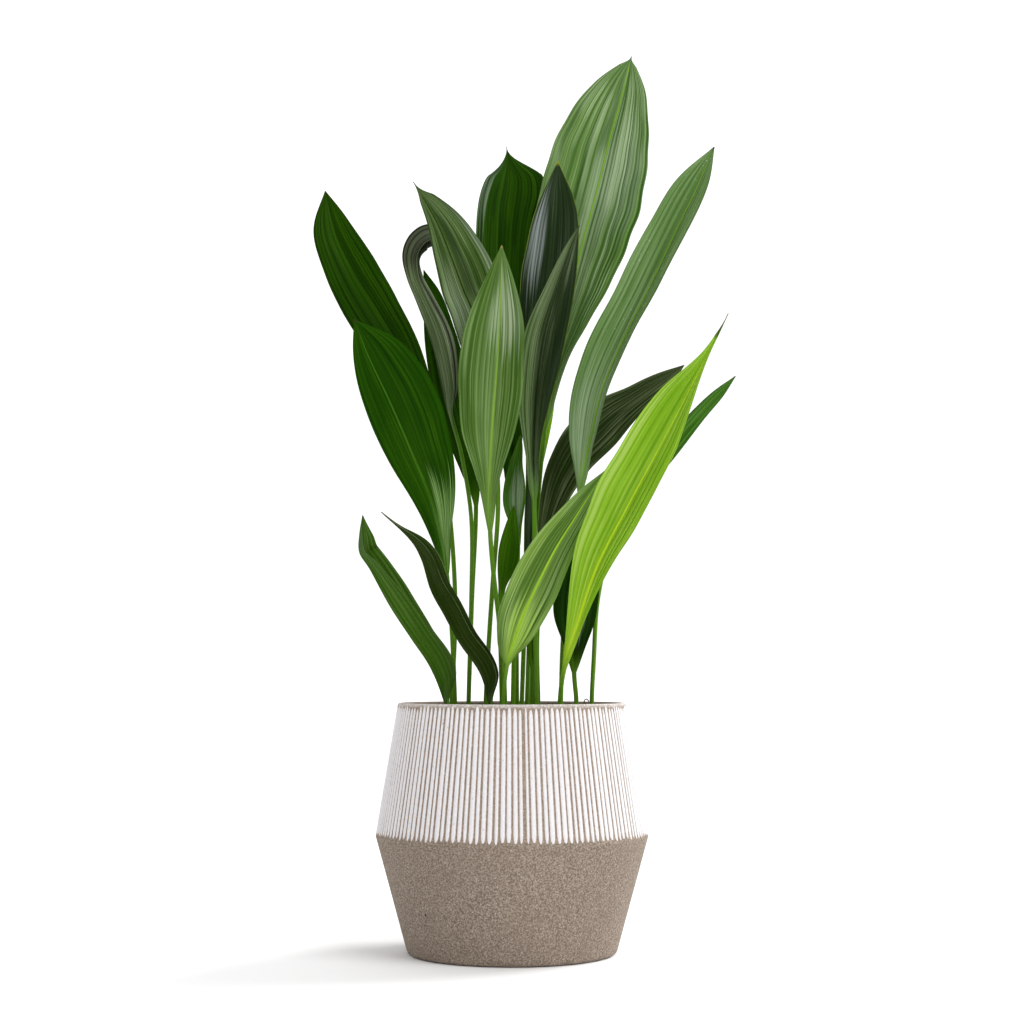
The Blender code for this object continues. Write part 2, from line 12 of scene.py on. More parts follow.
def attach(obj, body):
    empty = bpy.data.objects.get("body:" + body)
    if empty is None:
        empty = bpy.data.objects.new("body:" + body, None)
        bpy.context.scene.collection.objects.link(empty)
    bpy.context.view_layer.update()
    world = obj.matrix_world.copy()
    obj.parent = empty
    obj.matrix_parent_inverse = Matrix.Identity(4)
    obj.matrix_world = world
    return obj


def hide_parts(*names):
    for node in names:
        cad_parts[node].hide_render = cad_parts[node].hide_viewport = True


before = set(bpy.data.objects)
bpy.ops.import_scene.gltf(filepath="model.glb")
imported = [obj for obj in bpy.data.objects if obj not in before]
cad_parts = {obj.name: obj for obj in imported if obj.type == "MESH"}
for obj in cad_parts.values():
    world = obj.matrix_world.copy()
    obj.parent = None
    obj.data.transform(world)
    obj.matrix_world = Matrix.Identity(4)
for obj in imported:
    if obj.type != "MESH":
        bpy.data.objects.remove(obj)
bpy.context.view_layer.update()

# The planter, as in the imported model.
POT_HEIGHT = 0.245
FOOT_RADIUS = 0.103
WAIST_RADIUS = 0.135
WAIST_HEIGHT = 0.115
RIM_RADIUS = 0.1135
WALL = 0.007
FLOOR = 0.010
EDGE_ROUND = 0.0025
WAIST_ROUND = 0.010
FOOT_ROUND = 0.005
SOIL_TOP = 0.222
RHIZOME_HEIGHT = 0.216
RHIZOME_RADIUS = 0.008
SEAT_HEIGHT = 0.2297

# Its ribs.  A place's crown value is how far it lies inside a rib's raised face, and OFF_CROWN is
# the value where there is none.
RIB_COUNT = 140
RIB_RELIEF = 0.0011
RIB_TOP = 0.2438
RIB_FOOT = 0.1165
RIB_TAPER = 0.0085
GROOVE_HALF = 0.0008
WIDE_GROOVE_HALF = 0.0015
WIDE_GROOVE_AT = np.radians(-84.8)
OFF_CROWN = -0.004
BLEMISH = (-0.0656, -0.0963, 0.2285)
BLEMISH_RADIUS = 0.0018

# The potting mix and the papery collars round the stalks' feet.
SOIL_GAP = 0.0004
SOIL_COLUMNS = 220
SOIL_RINGS = 58
GRAIN_COUNT = 420
RHIZOME_SIDES = 24
COLLAR_SIDES = 20
SHEATH_SIDES = 10

# The studio: a dim even sky with brighter lobes, each as (the way it lies, strength), which fade
# between two cosines, and soft suns, each as (the way it comes from, softness in degrees, power).
SKY_BASE = 0.05
SKY_GLOW = [((0.0, 1.0, 0.0), 1.0), ((0.2, -1.0, 0.35), 0.44), ((-0.2, 0.0, 1.0), 0.42)]
SKY_SOFTNESS = (-0.2, 0.85)
SUNS = {
    "key": ((0.8, -0.8, 1.0), 36.0, 1.35),
    "rim": ((0.9, 0.55, 0.75), 30.0, 2.3),
}
STAGE_DROP = 0.0005
STAGE_REACH = 120.0
CAMERA_PLACE = (0.0, -2.0, 0.277)
CAMERA_TILT = 4.53
CAMERA_LENS = 70.3
CAMERA_SENSOR = 36.0

# The leaves.
STALK_RADIUS = 0.0023
TIP_RADIUS = 0.0004
BLADE_HALF_THICKNESS = 0.00035
STALK_MERGE = 0.15
SPAN_SAMPLES = 16
WIDTH_AT = (0.0, 0.15, 0.35, 0.55, 0.75, 0.90, 1.0)
STALK_RINGS = 26
BLADE_RINGS = 120
COLUMNS = 41
PLEAT_DEPTH = 0.00042
EDGE_RIPPLE = 0.0011
HALF_ARCH = 0.05
VEINED_WIDTH = 0.058


def leaf_plan(path, blade_from, left, right, turn=(0, 0, 0), fold=(30, 15, 15), nib=(1.0, 1.0)):
    """A leaf's shape.

    The path runs from its seat to its tip, and the blade begins at the path point blade_from.  The
    turn about the path and the fold of the halves are in degrees at the blade's base, middle and
    tip.  Left and right are half widths at the inner places of WIDTH_AT.  A nib is where the tip
    starts to narrow, and how sharply.
    """
    return {"path": path, "blade_from": blade_from, "left": left, "right": right, "turn": turn,
            "fold": fold, "nib": nib}


LEAVES = {
    "leaf_left_rear": leaf_plan(
        path=[(-0.061, 0.040, 0.230), (-0.061, 0.041, 0.250), (-0.058, 0.044, 0.348),
              (-0.066, 0.055, 0.452), (-0.083, 0.075, 0.527), (-0.114, 0.100, 0.610),
              (-0.143, 0.120, 0.662), (-0.168, 0.137, 0.703), (-0.191, 0.153, 0.750),
              (-0.206, 0.170, 0.804)],
        blade_from=3, left=(0.013, 0.028, 0.036, 0.031, 0.021),
        right=(0.010, 0.017, 0.023, 0.026, 0.016)),
    "leaf_left_broad": leaf_plan(
        path=[(-0.057, 0.000, 0.230), (-0.057, 0.000, 0.250), (-0.060, -0.002, 0.317),
              (-0.065, -0.010, 0.372), (-0.0765, -0.022, 0.435), (-0.100, -0.042, 0.494),
              (-0.120, -0.062, 0.540), (-0.139, -0.080, 0.580), (-0.152, -0.094, 0.614)],
        blade_from=3, turn=(-8, -8, 0), fold=(30, 12, 12), left=(0.011, 0.020, 0.026, 0.023, 0.012),
        right=(0.013, 0.034, 0.046, 0.045, 0.030)),
    "leaf_left_striped": leaf_plan(
        path=[(-0.026, 0.000, 0.230), (-0.026, 0.000, 0.250), (-0.023, -0.001, 0.307),
              (-0.019, -0.004, 0.367), (-0.014, -0.008, 0.436), (-0.016, -0.012, 0.497),
              (-0.024, -0.017, 0.567), (-0.037, -0.020, 0.626), (-0.049, -0.021, 0.657),
              (-0.061, -0.026, 0.689), (-0.0755, -0.033, 0.723), (-0.098, -0.045, 0.761)],
        blade_from=5, turn=(20, 24, 24), fold=(30, 24, 24), nib=(0.93, 0.9),
        left=(0.012, 0.030, 0.033, 0.023, 0.010), right=(0.012, 0.030, 0.037, 0.031, 0.015)),
    "leaf_left_curled": leaf_plan(
        path=[(-0.0435, 0.018, 0.230), (-0.0435, 0.018, 0.250), (-0.041, 0.020, 0.348),
              (-0.041, 0.022, 0.429), (-0.050, 0.025, 0.490), (-0.058, 0.026, 0.522),
              (-0.067, 0.026, 0.552), (-0.076, 0.027, 0.592), (-0.084, 0.028, 0.620),
              (-0.097, 0.029, 0.654), (-0.107, 0.030, 0.679), (-0.112, 0.031, 0.702),
              (-0.107, 0.033, 0.721), (-0.094, 0.036, 0.734), (-0.077, 0.040, 0.737),
              (-0.062, 0.044, 0.731), (-0.051, 0.047, 0.716), (-0.045, 0.050, 0.696)],
        blade_from=5, turn=(90, 90, 90), fold=(60, 50, 42),
        left=(0.014, 0.018, 0.015, 0.034, 0.024), right=(0.018, 0.029, 0.020, 0.028, 0.020)),
    "leaf_left_inner": leaf_plan(
        path=[(-0.044, 0.045, 0.230), (-0.044, 0.045, 0.250), (-0.041, 0.046, 0.348),
              (-0.037, 0.048, 0.446), (-0.043, 0.049, 0.482), (-0.053, 0.050, 0.524),
              (-0.064, 0.052, 0.571), (-0.073, 0.053, 0.618), (-0.082, 0.055, 0.660),
              (-0.092, 0.057, 0.693)],
        blade_from=3, fold=(30, 12, 12), left=(0.011, 0.018, 0.020, 0.016, 0.008),
        right=(0.009, 0.017, 0.020, 0.015, 0.009)),
    "leaf_top_dark": leaf_plan(
        path=[(0.005, 0.040, 0.230), (0.005, 0.040, 0.250), (0.004, 0.046, 0.348),
              (0.002, 0.056, 0.453), (-0.002, 0.070, 0.537), (-0.007, 0.095, 0.637),
              (-0.009, 0.118, 0.717), (-0.007, 0.135, 0.774), (-0.003, 0.150, 0.812),
              (-0.006, 0.175, 0.855)],
        blade_from=2, fold=(30, 12, 12), nib=(0.905, 0.9), left=(0.006, 0.014, 0.025, 0.031, 0.025),
        right=(0.006, 0.014, 0.028, 0.036, 0.039)),
    "leaf_top_blue": leaf_plan(
        path=[(0.010, 0.012, 0.230), (0.010, 0.012, 0.250), (0.014, 0.013, 0.347),
              (0.021, 0.015, 0.449), (0.026, 0.016, 0.530), (0.032, 0.017, 0.613),
              (0.038, 0.016, 0.684), (0.043, 0.014, 0.746), (0.047, 0.012, 0.797)],
        blade_from=2, turn=(-5, -5, -5), left=(0.007, 0.011, 0.024, 0.028, 0.017),
        right=(0.004, 0.005, 0.021, 0.030, 0.023)),
    "leaf_top_broad": leaf_plan(
        path=[(0.0155, 0.058, 0.230), (0.0155, 0.058, 0.250), (0.0195, 0.060, 0.349),
              (0.027, 0.063, 0.453), (0.034, 0.066, 0.526), (0.047, 0.071, 0.611),
              (0.062, 0.077, 0.675), (0.079, 0.084, 0.742), (0.092, 0.092, 0.791),
              (0.105, 0.101, 0.844), (0.119, 0.112, 0.895), (0.130, 0.130, 0.943)],
        blade_from=4, turn=(-4, -4, -4), fold=(30, 10, 10), nib=(0.97, 0.8),
        left=(0.013, 0.037, 0.058, 0.053, 0.031), right=(0.013, 0.037, 0.050, 0.043, 0.023)),
    "leaf_centre_folded": leaf_plan(
        path=[(0.024, -0.012, 0.230), (0.024, -0.012, 0.250), (0.023, -0.014, 0.347),
              (0.022, -0.016, 0.446), (0.021, -0.017, 0.506), (0.024, -0.018, 0.561),
              (0.031, -0.018, 0.612), (0.044, -0.018, 0.657), (0.057, -0.017, 0.696),
              (0.068, -0.016, 0.724)],
        blade_from=3, fold=(58, 58, 58), left=(0.014, 0.032, 0.034, 0.020, 0.010),
        right=(0.011, 0.019, 0.022, 0.018, 0.010)),
    "leaf_rear_lime": leaf_plan(
        path=[(0.020, 0.078, 0.230), (0.020, 0.078, 0.250), (0.022, 0.080, 0.371),
              (0.024, 0.083, 0.465), (0.028, 0.086, 0.528), (0.034, 0.088, 0.582),
              (0.044, 0.090, 0.635), (0.054, 0.092, 0.684)],
        blade_from=3, left=(0.009, 0.016, 0.018, 0.014, 0.007),
        right=(0.009, 0.014, 0.013, 0.010, 0.006)),
    "leaf_centre_front": leaf_plan(
        path=[(-0.010, -0.034, 0.230), (-0.010, -0.034, 0.250), (-0.012, -0.036, 0.316),
              (-0.018, -0.038, 0.370), (-0.0215, -0.040, 0.414), (-0.0215, -0.042, 0.464),
              (-0.0185, -0.045, 0.522), (-0.0155, -0.047, 0.562), (-0.0125, -0.056, 0.606),
              (-0.0105, -0.068, 0.649), (-0.010, -0.082, 0.689)],
        blade_from=4, turn=(-18, -18, -18), fold=(35, 20, 20),
        left=(0.011, 0.031, 0.038, 0.031, 0.014), right=(0.012, 0.030, 0.034, 0.029, 0.014)),
    "leaf_front_right": leaf_plan(
        path=[(-0.009, -0.056, 0.230), (-0.009, -0.057, 0.250), (-0.005, -0.060, 0.282),
              (0.002, -0.064, 0.306), (0.012, -0.068, 0.333), (0.025, -0.074, 0.361),
              (0.042, -0.084, 0.394), (0.063, -0.096, 0.427), (0.088, -0.107, 0.466)],
        blade_from=2, turn=(20, 20, 20), left=(0.027, 0.032, 0.029, 0.020, 0.010),
        right=(0.016, 0.022, 0.019, 0.014, 0.008)),
    "leaf_right_lime": leaf_plan(
        path=[(0.0465, -0.058, 0.230), (0.0465, -0.059, 0.250), (0.0505, -0.063, 0.279),
              (0.062, -0.074, 0.316), (0.081, -0.096, 0.374), (0.110, -0.124, 0.432),
              (0.143, -0.146, 0.494), (0.169, -0.160, 0.544), (0.1885, -0.168, 0.582),
              (0.200, -0.172, 0.606)],
        blade_from=2, turn=(-25, -30, -38), fold=(30, 30, 38), nib=(0.94, 0.8),
        left=(0.014, 0.030, 0.034, 0.026, 0.005), right=(0.009, 0.024, 0.032, 0.023, 0.003)),
    "leaf_right_shade": leaf_plan(
        path=[(0.0635, -0.012, 0.230), (0.0635, -0.013, 0.250), (0.0615, -0.014, 0.275),
              (0.0615, -0.018, 0.317), (0.064, -0.022, 0.356), (0.071, -0.026, 0.396),
              (0.081, -0.030, 0.433)],
        blade_from=2, left=(0.010, 0.022, 0.022, 0.015, 0.008),
        right=(0.012, 0.022, 0.022, 0.014, 0.007)),
    "leaf_right_tall": leaf_plan(
        path=[(0.049, 0.006, 0.230), (0.049, 0.006, 0.250), (0.051, 0.006, 0.307),
              (0.057, 0.004, 0.387), (0.068, 0.002, 0.453), (0.080, 0.000, 0.508),
              (0.0915, -0.008, 0.558), (0.114, -0.018, 0.611), (0.1395, -0.029, 0.662),
              (0.163, -0.040, 0.712), (0.1835, -0.050, 0.754), (0.200, -0.058, 0.793)],
        blade_from=4, turn=(-38, -38, -28), fold=(38, 38, 28),
        left=(0.023, 0.032, 0.030, 0.028, 0.020), right=(0.012, 0.022, 0.026, 0.024, 0.018)),
    "leaf_right_rear": leaf_plan(
        path=[(0.0265, 0.032, 0.230), (0.0265, 0.032, 0.250), (0.0255, 0.033, 0.307),
              (0.0295, 0.037, 0.389), (0.040, 0.043, 0.445), (0.0615, 0.056, 0.494),
              (0.096, 0.076, 0.535), (0.134, 0.095, 0.566), (0.184, 0.116, 0.602)],
        blade_from=3, fold=(20, 15, 15), left=(0.010, 0.021, 0.025, 0.015, 0.008),
        right=(0.012, 0.021, 0.026, 0.017, 0.011)),
    "leaf_right_thin": leaf_plan(
        path=[(0.080, 0.010, 0.230), (0.080, 0.010, 0.250), (0.082, 0.010, 0.287),
              (0.086, 0.008, 0.347), (0.098, 0.006, 0.397), (0.122, 0.004, 0.451),
              (0.157, 0.002, 0.501), (0.1935, 0.000, 0.544), (0.2255, 0.000, 0.573)],
        blade_from=4, turn=(60, 60, 60), left=(0.009, 0.016, 0.018, 0.016, 0.010),
        right=(0.009, 0.015, 0.016, 0.015, 0.010)),
    "leaf_centre_young": leaf_plan(
        path=[(0.001, -0.006, 0.230), (0.001, -0.006, 0.250), (0.003, -0.005, 0.327),
              (0.006, -0.003, 0.401), (0.003, -0.001, 0.451), (0.009, 0.000, 0.514)],
        blade_from=3, left=(0.006, 0.012, 0.012, 0.008, 0.004),
        right=(0.005, 0.010, 0.010, 0.005, 0.003)),
    "leaf_centre_small": leaf_plan(
        path=[(-0.007, -0.020, 0.230), (-0.007, -0.020, 0.250), (-0.009, -0.021, 0.307),
              (-0.011, -0.022, 0.346), (-0.006, -0.023, 0.391), (0.002, -0.024, 0.440)],
        blade_from=3, left=(0.004, 0.007, 0.008, 0.006, 0.003),
        right=(0.005, 0.012, 0.013, 0.008, 0.004)),
    "leaf_front_left": leaf_plan(
        path=[(-0.062, -0.047, 0.230), (-0.0635, -0.048, 0.244), (-0.078, -0.052, 0.280),
              (-0.097, -0.064, 0.309), (-0.1165, -0.078, 0.339), (-0.135, -0.090, 0.373),
              (-0.145, -0.097, 0.389), (-0.145, -0.101, 0.406), (-0.142, -0.105, 0.424)],
        blade_from=0.5, turn=(80, 80, 60), fold=(60, 60, 45),
        left=(0.020, 0.023, 0.024, 0.019, 0.014), right=(0.020, 0.023, 0.024, 0.020, 0.015)),
    "leaf_front_olive": leaf_plan(
        path=[(-0.020, -0.052, 0.230), (-0.021, -0.052, 0.244), (-0.030, -0.054, 0.275),
              (-0.050, -0.057, 0.304), (-0.065, -0.060, 0.331), (-0.078, -0.064, 0.355),
              (-0.087, -0.069, 0.384), (-0.099, -0.074, 0.404), (-0.126, -0.080, 0.429)],
        blade_from=0.5, turn=(80, 80, 70), fold=(60, 60, 60),
        left=(0.017, 0.019, 0.019, 0.014, 0.003), right=(0.017, 0.020, 0.020, 0.015, 0.003)),
    "leaf_centre_short": leaf_plan(
        path=[(0.0215, 0.045, 0.230), (0.0215, 0.045, 0.250), (0.0215, 0.045, 0.277),
              (0.0205, 0.045, 0.308), (0.0245, 0.046, 0.343), (0.031, 0.047, 0.374)],
        blade_from=2, left=(0.005, 0.007, 0.007, 0.005, 0.002),
        right=(0.005, 0.007, 0.007, 0.005, 0.002)),
}

# The rhizome's runs, seen from above.
RHIZOME_RUNS = [
    [(-0.080, 0.004), (-0.057, 0.000), (-0.026, 0.000), (0.001, -0.006), (0.026, -0.008),
     (0.049, 0.002), (0.0635, -0.006), (0.080, 0.006), (0.090, 0.012)],
    [(-0.072, -0.044), (-0.057, -0.047), (-0.036, -0.050), (-0.013, -0.053), (0.020, -0.059),
     (0.0465, -0.058), (0.060, -0.053)],
    [(-0.072, 0.037), (-0.061, 0.040), (-0.037, 0.044), (-0.015, 0.046), (0.005, 0.041),
     (0.0215, 0.044)],
    [(-0.013, -0.053), (-0.010, -0.034), (-0.006, -0.020), (0.001, -0.006), (0.010, 0.012),
     (0.0265, 0.032), (0.0215, 0.045), (0.016, 0.059), (0.020, 0.084)],
    [(-0.050, 0.000), (-0.0435, 0.018), (-0.037, 0.044)],
]


def tone(red, green, blue):
    """A colour given in the usual 0 to 255 steps, as linear light."""
    share = np.array([red, green, blue]) / 255.0
    return tuple(np.where(share <= 0.04045, share / 12.92, ((share + 0.055) / 1.055) ** 2.4))


def leaf_look(main, deep, pale, rib, margin, streak, line, **extra):
    """A leaf's five tones, and how strongly its streaks, with the painted shade and sheen of its
    pleats, and its midrib's line show.
    """
    named = {"main": main, "deep": deep, "pale": pale, "rib": rib, "margin": margin}
    tones = {part: tone(*colour) for part, colour in named.items()}
    return dict(tones, streak=streak, line=line, **extra)


# How each leaf looks: its main green, the dark and the pale tone of its streaks, the midrib and the
# margin.  The dark and the pale tone also serve as painted shade in the pleats' creases and painted
# sheen on their crests.  Besides these, where a leaf has them:
#   side        a dark tone for the right half: painted shade where that half turns from the light
#   far         a tone for the outer blade, and the shares of its length where that begins and is full
#   beneath     the lower face's tone;  flat  how far that tone hides the streaks
#   tip         the tip's tone;  tip_at  the shares of the blade where it begins and is full
#   gloss       the mirror level;  glow  the share of light let through;  dust  pale flecks
#   shine       soft highlights as (place across, place along, half width, half length, strength),
#               in shares of the blade;  shine_tone  their tone
LOOKS = {
    "leaf_left_rear": leaf_look((30, 66, 0), (10, 36, 0), (54, 94, 4), (16, 46, 0), (62, 50, 34),
        0.75, 0.6),
    "leaf_left_broad": leaf_look((28, 70, 0), (10, 40, 0), (60, 106, 8), (84, 136, 36), (30, 60, 8),
        0.7, 0.5, shine=[(0.5, 0.17, 0.8, 0.2, 0.9)], shine_tone=tone(150, 190, 110)),
    "leaf_left_striped": leaf_look((64, 94, 26), (14, 42, 0), (140, 162, 110), (30, 56, 8),
        (30, 36, 20), 1.15, 0.7, gloss=0.06,
        shine=[(-0.5, 0.45, 0.5, 0.3, 0.35), (0.9, 0.6, 0.12, 0.4, 0.5)]),
    # the curled leaf's right half is darkened by painted shade (side)
    "leaf_left_curled": leaf_look((88, 110, 60), (16, 32, 2), (156, 172, 130), (34, 44, 28),
        (34, 32, 34), 1.3, 0.6, side=tone(40, 36, 36), far=(tone(30, 32, 24), 0.5, 0.62),
        beneath=tone(98, 118, 80), flat=0.25),
    "leaf_left_inner": leaf_look((34, 72, 2), (12, 42, 0), (60, 104, 8), (56, 104, 4), (30, 50, 0),
        0.7, 0.5),
    "leaf_top_dark": leaf_look((34, 74, 0), (10, 36, 0), (60, 102, 6), (14, 40, 0), (60, 66, 46),
        0.85, 0.5, shine=[(-0.85, 0.86, 0.25, 0.09, 0.4)]),
    "leaf_top_blue": leaf_look((38, 56, 28), (16, 30, 8), (84, 98, 78), (48, 68, 40),
        (120, 140, 50), 0.7, 0.4, tip=tone(150, 160, 40), shine=[(-0.6, 0.8, 0.4, 0.14, 0.7)],
        shine_tone=tone(172, 180, 180)),
    "leaf_top_broad": leaf_look((92, 128, 56), (36, 76, 2), (166, 190, 140), (124, 172, 40),
        (90, 110, 70), 1.15, 0.8, gloss=0.06,
        shine=[(0.4, 0.66, 0.7, 0.2, 0.3), (-0.2, 0.4, 0.6, 0.16, 0.25)]),
    # the folded leaf's right half is darkened by painted shade (side)
    "leaf_centre_folded": leaf_look((96, 120, 70), (36, 58, 12), (146, 164, 126), (60, 100, 30),
        (40, 56, 24), 1.2, 0.6, side=tone(14, 30, 2), gloss=0.03),
    "leaf_rear_lime": leaf_look((138, 196, 0), (98, 158, 0), (164, 212, 30), (150, 200, 40),
        (90, 140, 10), 0.6, 0.5, glow=0.05),
    "leaf_centre_front": leaf_look((90, 122, 48), (44, 80, 12), (142, 172, 108), (140, 180, 76),
        (70, 100, 40), 1.0, 1.0, tip=tone(176, 150, 80), gloss=0.06,
        shine=[(0.3, 0.78, 0.8, 0.16, 0.55)], shine_tone=tone(196, 208, 180)),
    "leaf_front_right": leaf_look((98, 136, 46), (48, 82, 10), (168, 194, 128), (166, 206, 60),
        (110, 140, 80), 1.05, 1.0, gloss=0.06,
        shine=[(-0.8, 0.55, 0.3, 0.4, 0.35), (0.1, 0.12, 1.0, 0.24, 0.7)],
        shine_tone=tone(176, 214, 96)),
    "leaf_right_lime": leaf_look((150, 196, 44), (94, 150, 0), (192, 224, 96), (206, 232, 56),
        (150, 190, 70), 1.0, 1.0, tip=tone(40, 60, 20), tip_at=(0.925, 0.945), gloss=0.05,
        glow=0.22, shine=[(-0.85, 0.5, 0.2, 0.4, 0.4)], shine_tone=tone(206, 230, 130)),
    # painted shade: this leaf's greens are darkened for the shade it stands in, behind the front
    # leaves
    "leaf_right_shade": leaf_look((16, 46, 0), (6, 26, 0), (50, 84, 34), (26, 54, 6), (14, 36, 0),
        0.6, 0.4, shine=[(0.3, 0.3, 0.3, 0.16, 0.5)]),
    "leaf_right_tall": leaf_look((104, 140, 76), (62, 96, 34), (156, 182, 132), (130, 176, 50),
        (60, 84, 40), 0.8, 0.9, gloss=0.06, dust=0.8, shine=[(0.0, 0.16, 1.2, 0.26, 0.6)]),
    "leaf_right_rear": leaf_look((38, 56, 12), (14, 28, 0), (116, 128, 90), (30, 50, 12),
        (60, 70, 48), 1.2, 0.6),
    "leaf_right_thin": leaf_look((60, 112, 24), (26, 62, 0), (100, 146, 60), (50, 96, 24),
        (36, 56, 20), 0.8, 0.4),
    "leaf_centre_young": leaf_look((58, 108, 0), (24, 66, 0), (130, 170, 90), (60, 110, 10),
        (50, 100, 0), 0.9, 0.5, shine=[(0.2, 0.45, 0.8, 0.34, 0.7)]),
    "leaf_centre_small": leaf_look((52, 96, 0), (22, 56, 0), (86, 130, 24), (60, 104, 20),
        (30, 60, 0), 1.0, 0.4),
    "leaf_front_left": leaf_look((56, 92, 12), (30, 62, 0), (104, 136, 66), (40, 76, 12),
        (50, 76, 24), 0.85, 0.5, beneath=tone(52, 88, 12)),
    "leaf_front_olive": leaf_look((40, 58, 12), (20, 38, 0), (76, 92, 48), (70, 84, 52),
        (120, 130, 100), 0.6, 0.4, beneath=tone(40, 58, 12)),
    "leaf_centre_short": leaf_look((70, 110, 4), (50, 86, 0), (90, 130, 30), (90, 130, 30),
        (60, 90, 0), 0.4, 0.4),
}


# ---------------------------------------------------------------- leaf shapes

def unit(vector):
    return vector / np.linalg.norm(vector)


def smoothstep(value, low=0.0, high=1.0):
    share = np.clip((np.asarray(value, float) - low) / (high - low), 0.0, 1.0)
    return share * share * (3 - 2 * share)


def smooth_run(points, samples=SPAN_SAMPLES):
    """A dense curve through given points (Catmull-Rom)."""
    points = np.array(points, float)
    ends = np.vstack([2 * points[0] - points[1], points, 2 * points[-1] - points[-2]])
    run = []
    for i in range(len(points) - 1):
        a, b, c, d = ends[i:i + 4]
        for u in np.arange(samples) / samples:
            run.append(0.5 * (2 * b + (c - a) * u + (2 * a - 5 * b + 4 * c - d) * u ** 2
                              + (3 * b - a - 3 * c + d) * u ** 3))
    run.append(points[-1])
    return np.array(run)


def lengths_along(run):
    return np.concatenate([[0.0], np.cumsum(np.linalg.norm(np.diff(run, axis=0), axis=1))])


def eased(values, t):
    """A value at the base, the middle and the tip, blended smoothly along the blade."""
    base, middle, tip = values
    if t < 0.5:
        return base + (middle - base) * smoothstep(t, 0.0, 0.5)
    return middle + (tip - middle) * smoothstep(t, 0.5, 1.0)


def half_width(values, t):
    """A blade's half width, eased through its given values from the stalk to the tip."""
    knots = np.array(WIDTH_AT)
    widths = np.array([STALK_RADIUS, *values, TIP_RADIUS])
    slopes = np.gradient(widths, knots)
    k = int(np.clip(np.searchsorted(knots, t) - 1, 0, len(knots) - 2))
    span = knots[k + 1] - knots[k]
    u = (t - knots[k]) / span
    return ((2 * u ** 3 - 3 * u ** 2 + 1) * widths[k] + (u ** 3 - 2 * u ** 2 + u) * span * slopes[k]
            + (3 * u ** 2 - 2 * u ** 3) * widths[k + 1] + (u ** 3 - u ** 2) * span * slopes[k + 1])


def tip_share(leaf, t):
    """How much of its width a blade keeps where its tip is drawn out."""
    start, power = leaf["nib"]
    if t <= start:
        return 1.0
    return ((1.0 - t) / (1.0 - start)) ** power


def waves(rng, count, slowest, fastest):
    """A smooth random function of a length in metres, between about -1 and 1."""
    rates = rng.uniform(slowest, fastest, count) * 2 * np.pi
    phases = rng.uniform(0.0, 2 * np.pi, count)
    return lambda at: np.sin(np.multiply.outer(at, rates) + phases).sum(axis=-1) / np.sqrt(count)


# Places across a ring: from the left margin over the upper face to the right margin, then back
# beneath.  On the stalk they go round a circle, on the blade they lie side by side.
RING_ANGLE = np.concatenate([np.linspace(0.0, np.pi, COLUMNS),
                             np.linspace(np.pi, 2 * np.pi, COLUMNS)[1:-1]])
FACE = np.concatenate([np.ones(COLUMNS), -np.ones(COLUMNS - 2)])
FLAT = np.concatenate([np.linspace(-1.0, 1.0, COLUMNS), np.linspace(1.0, -1.0, COLUMNS)[1:-1]])
ROUND = -np.cos(RING_ANGLE)


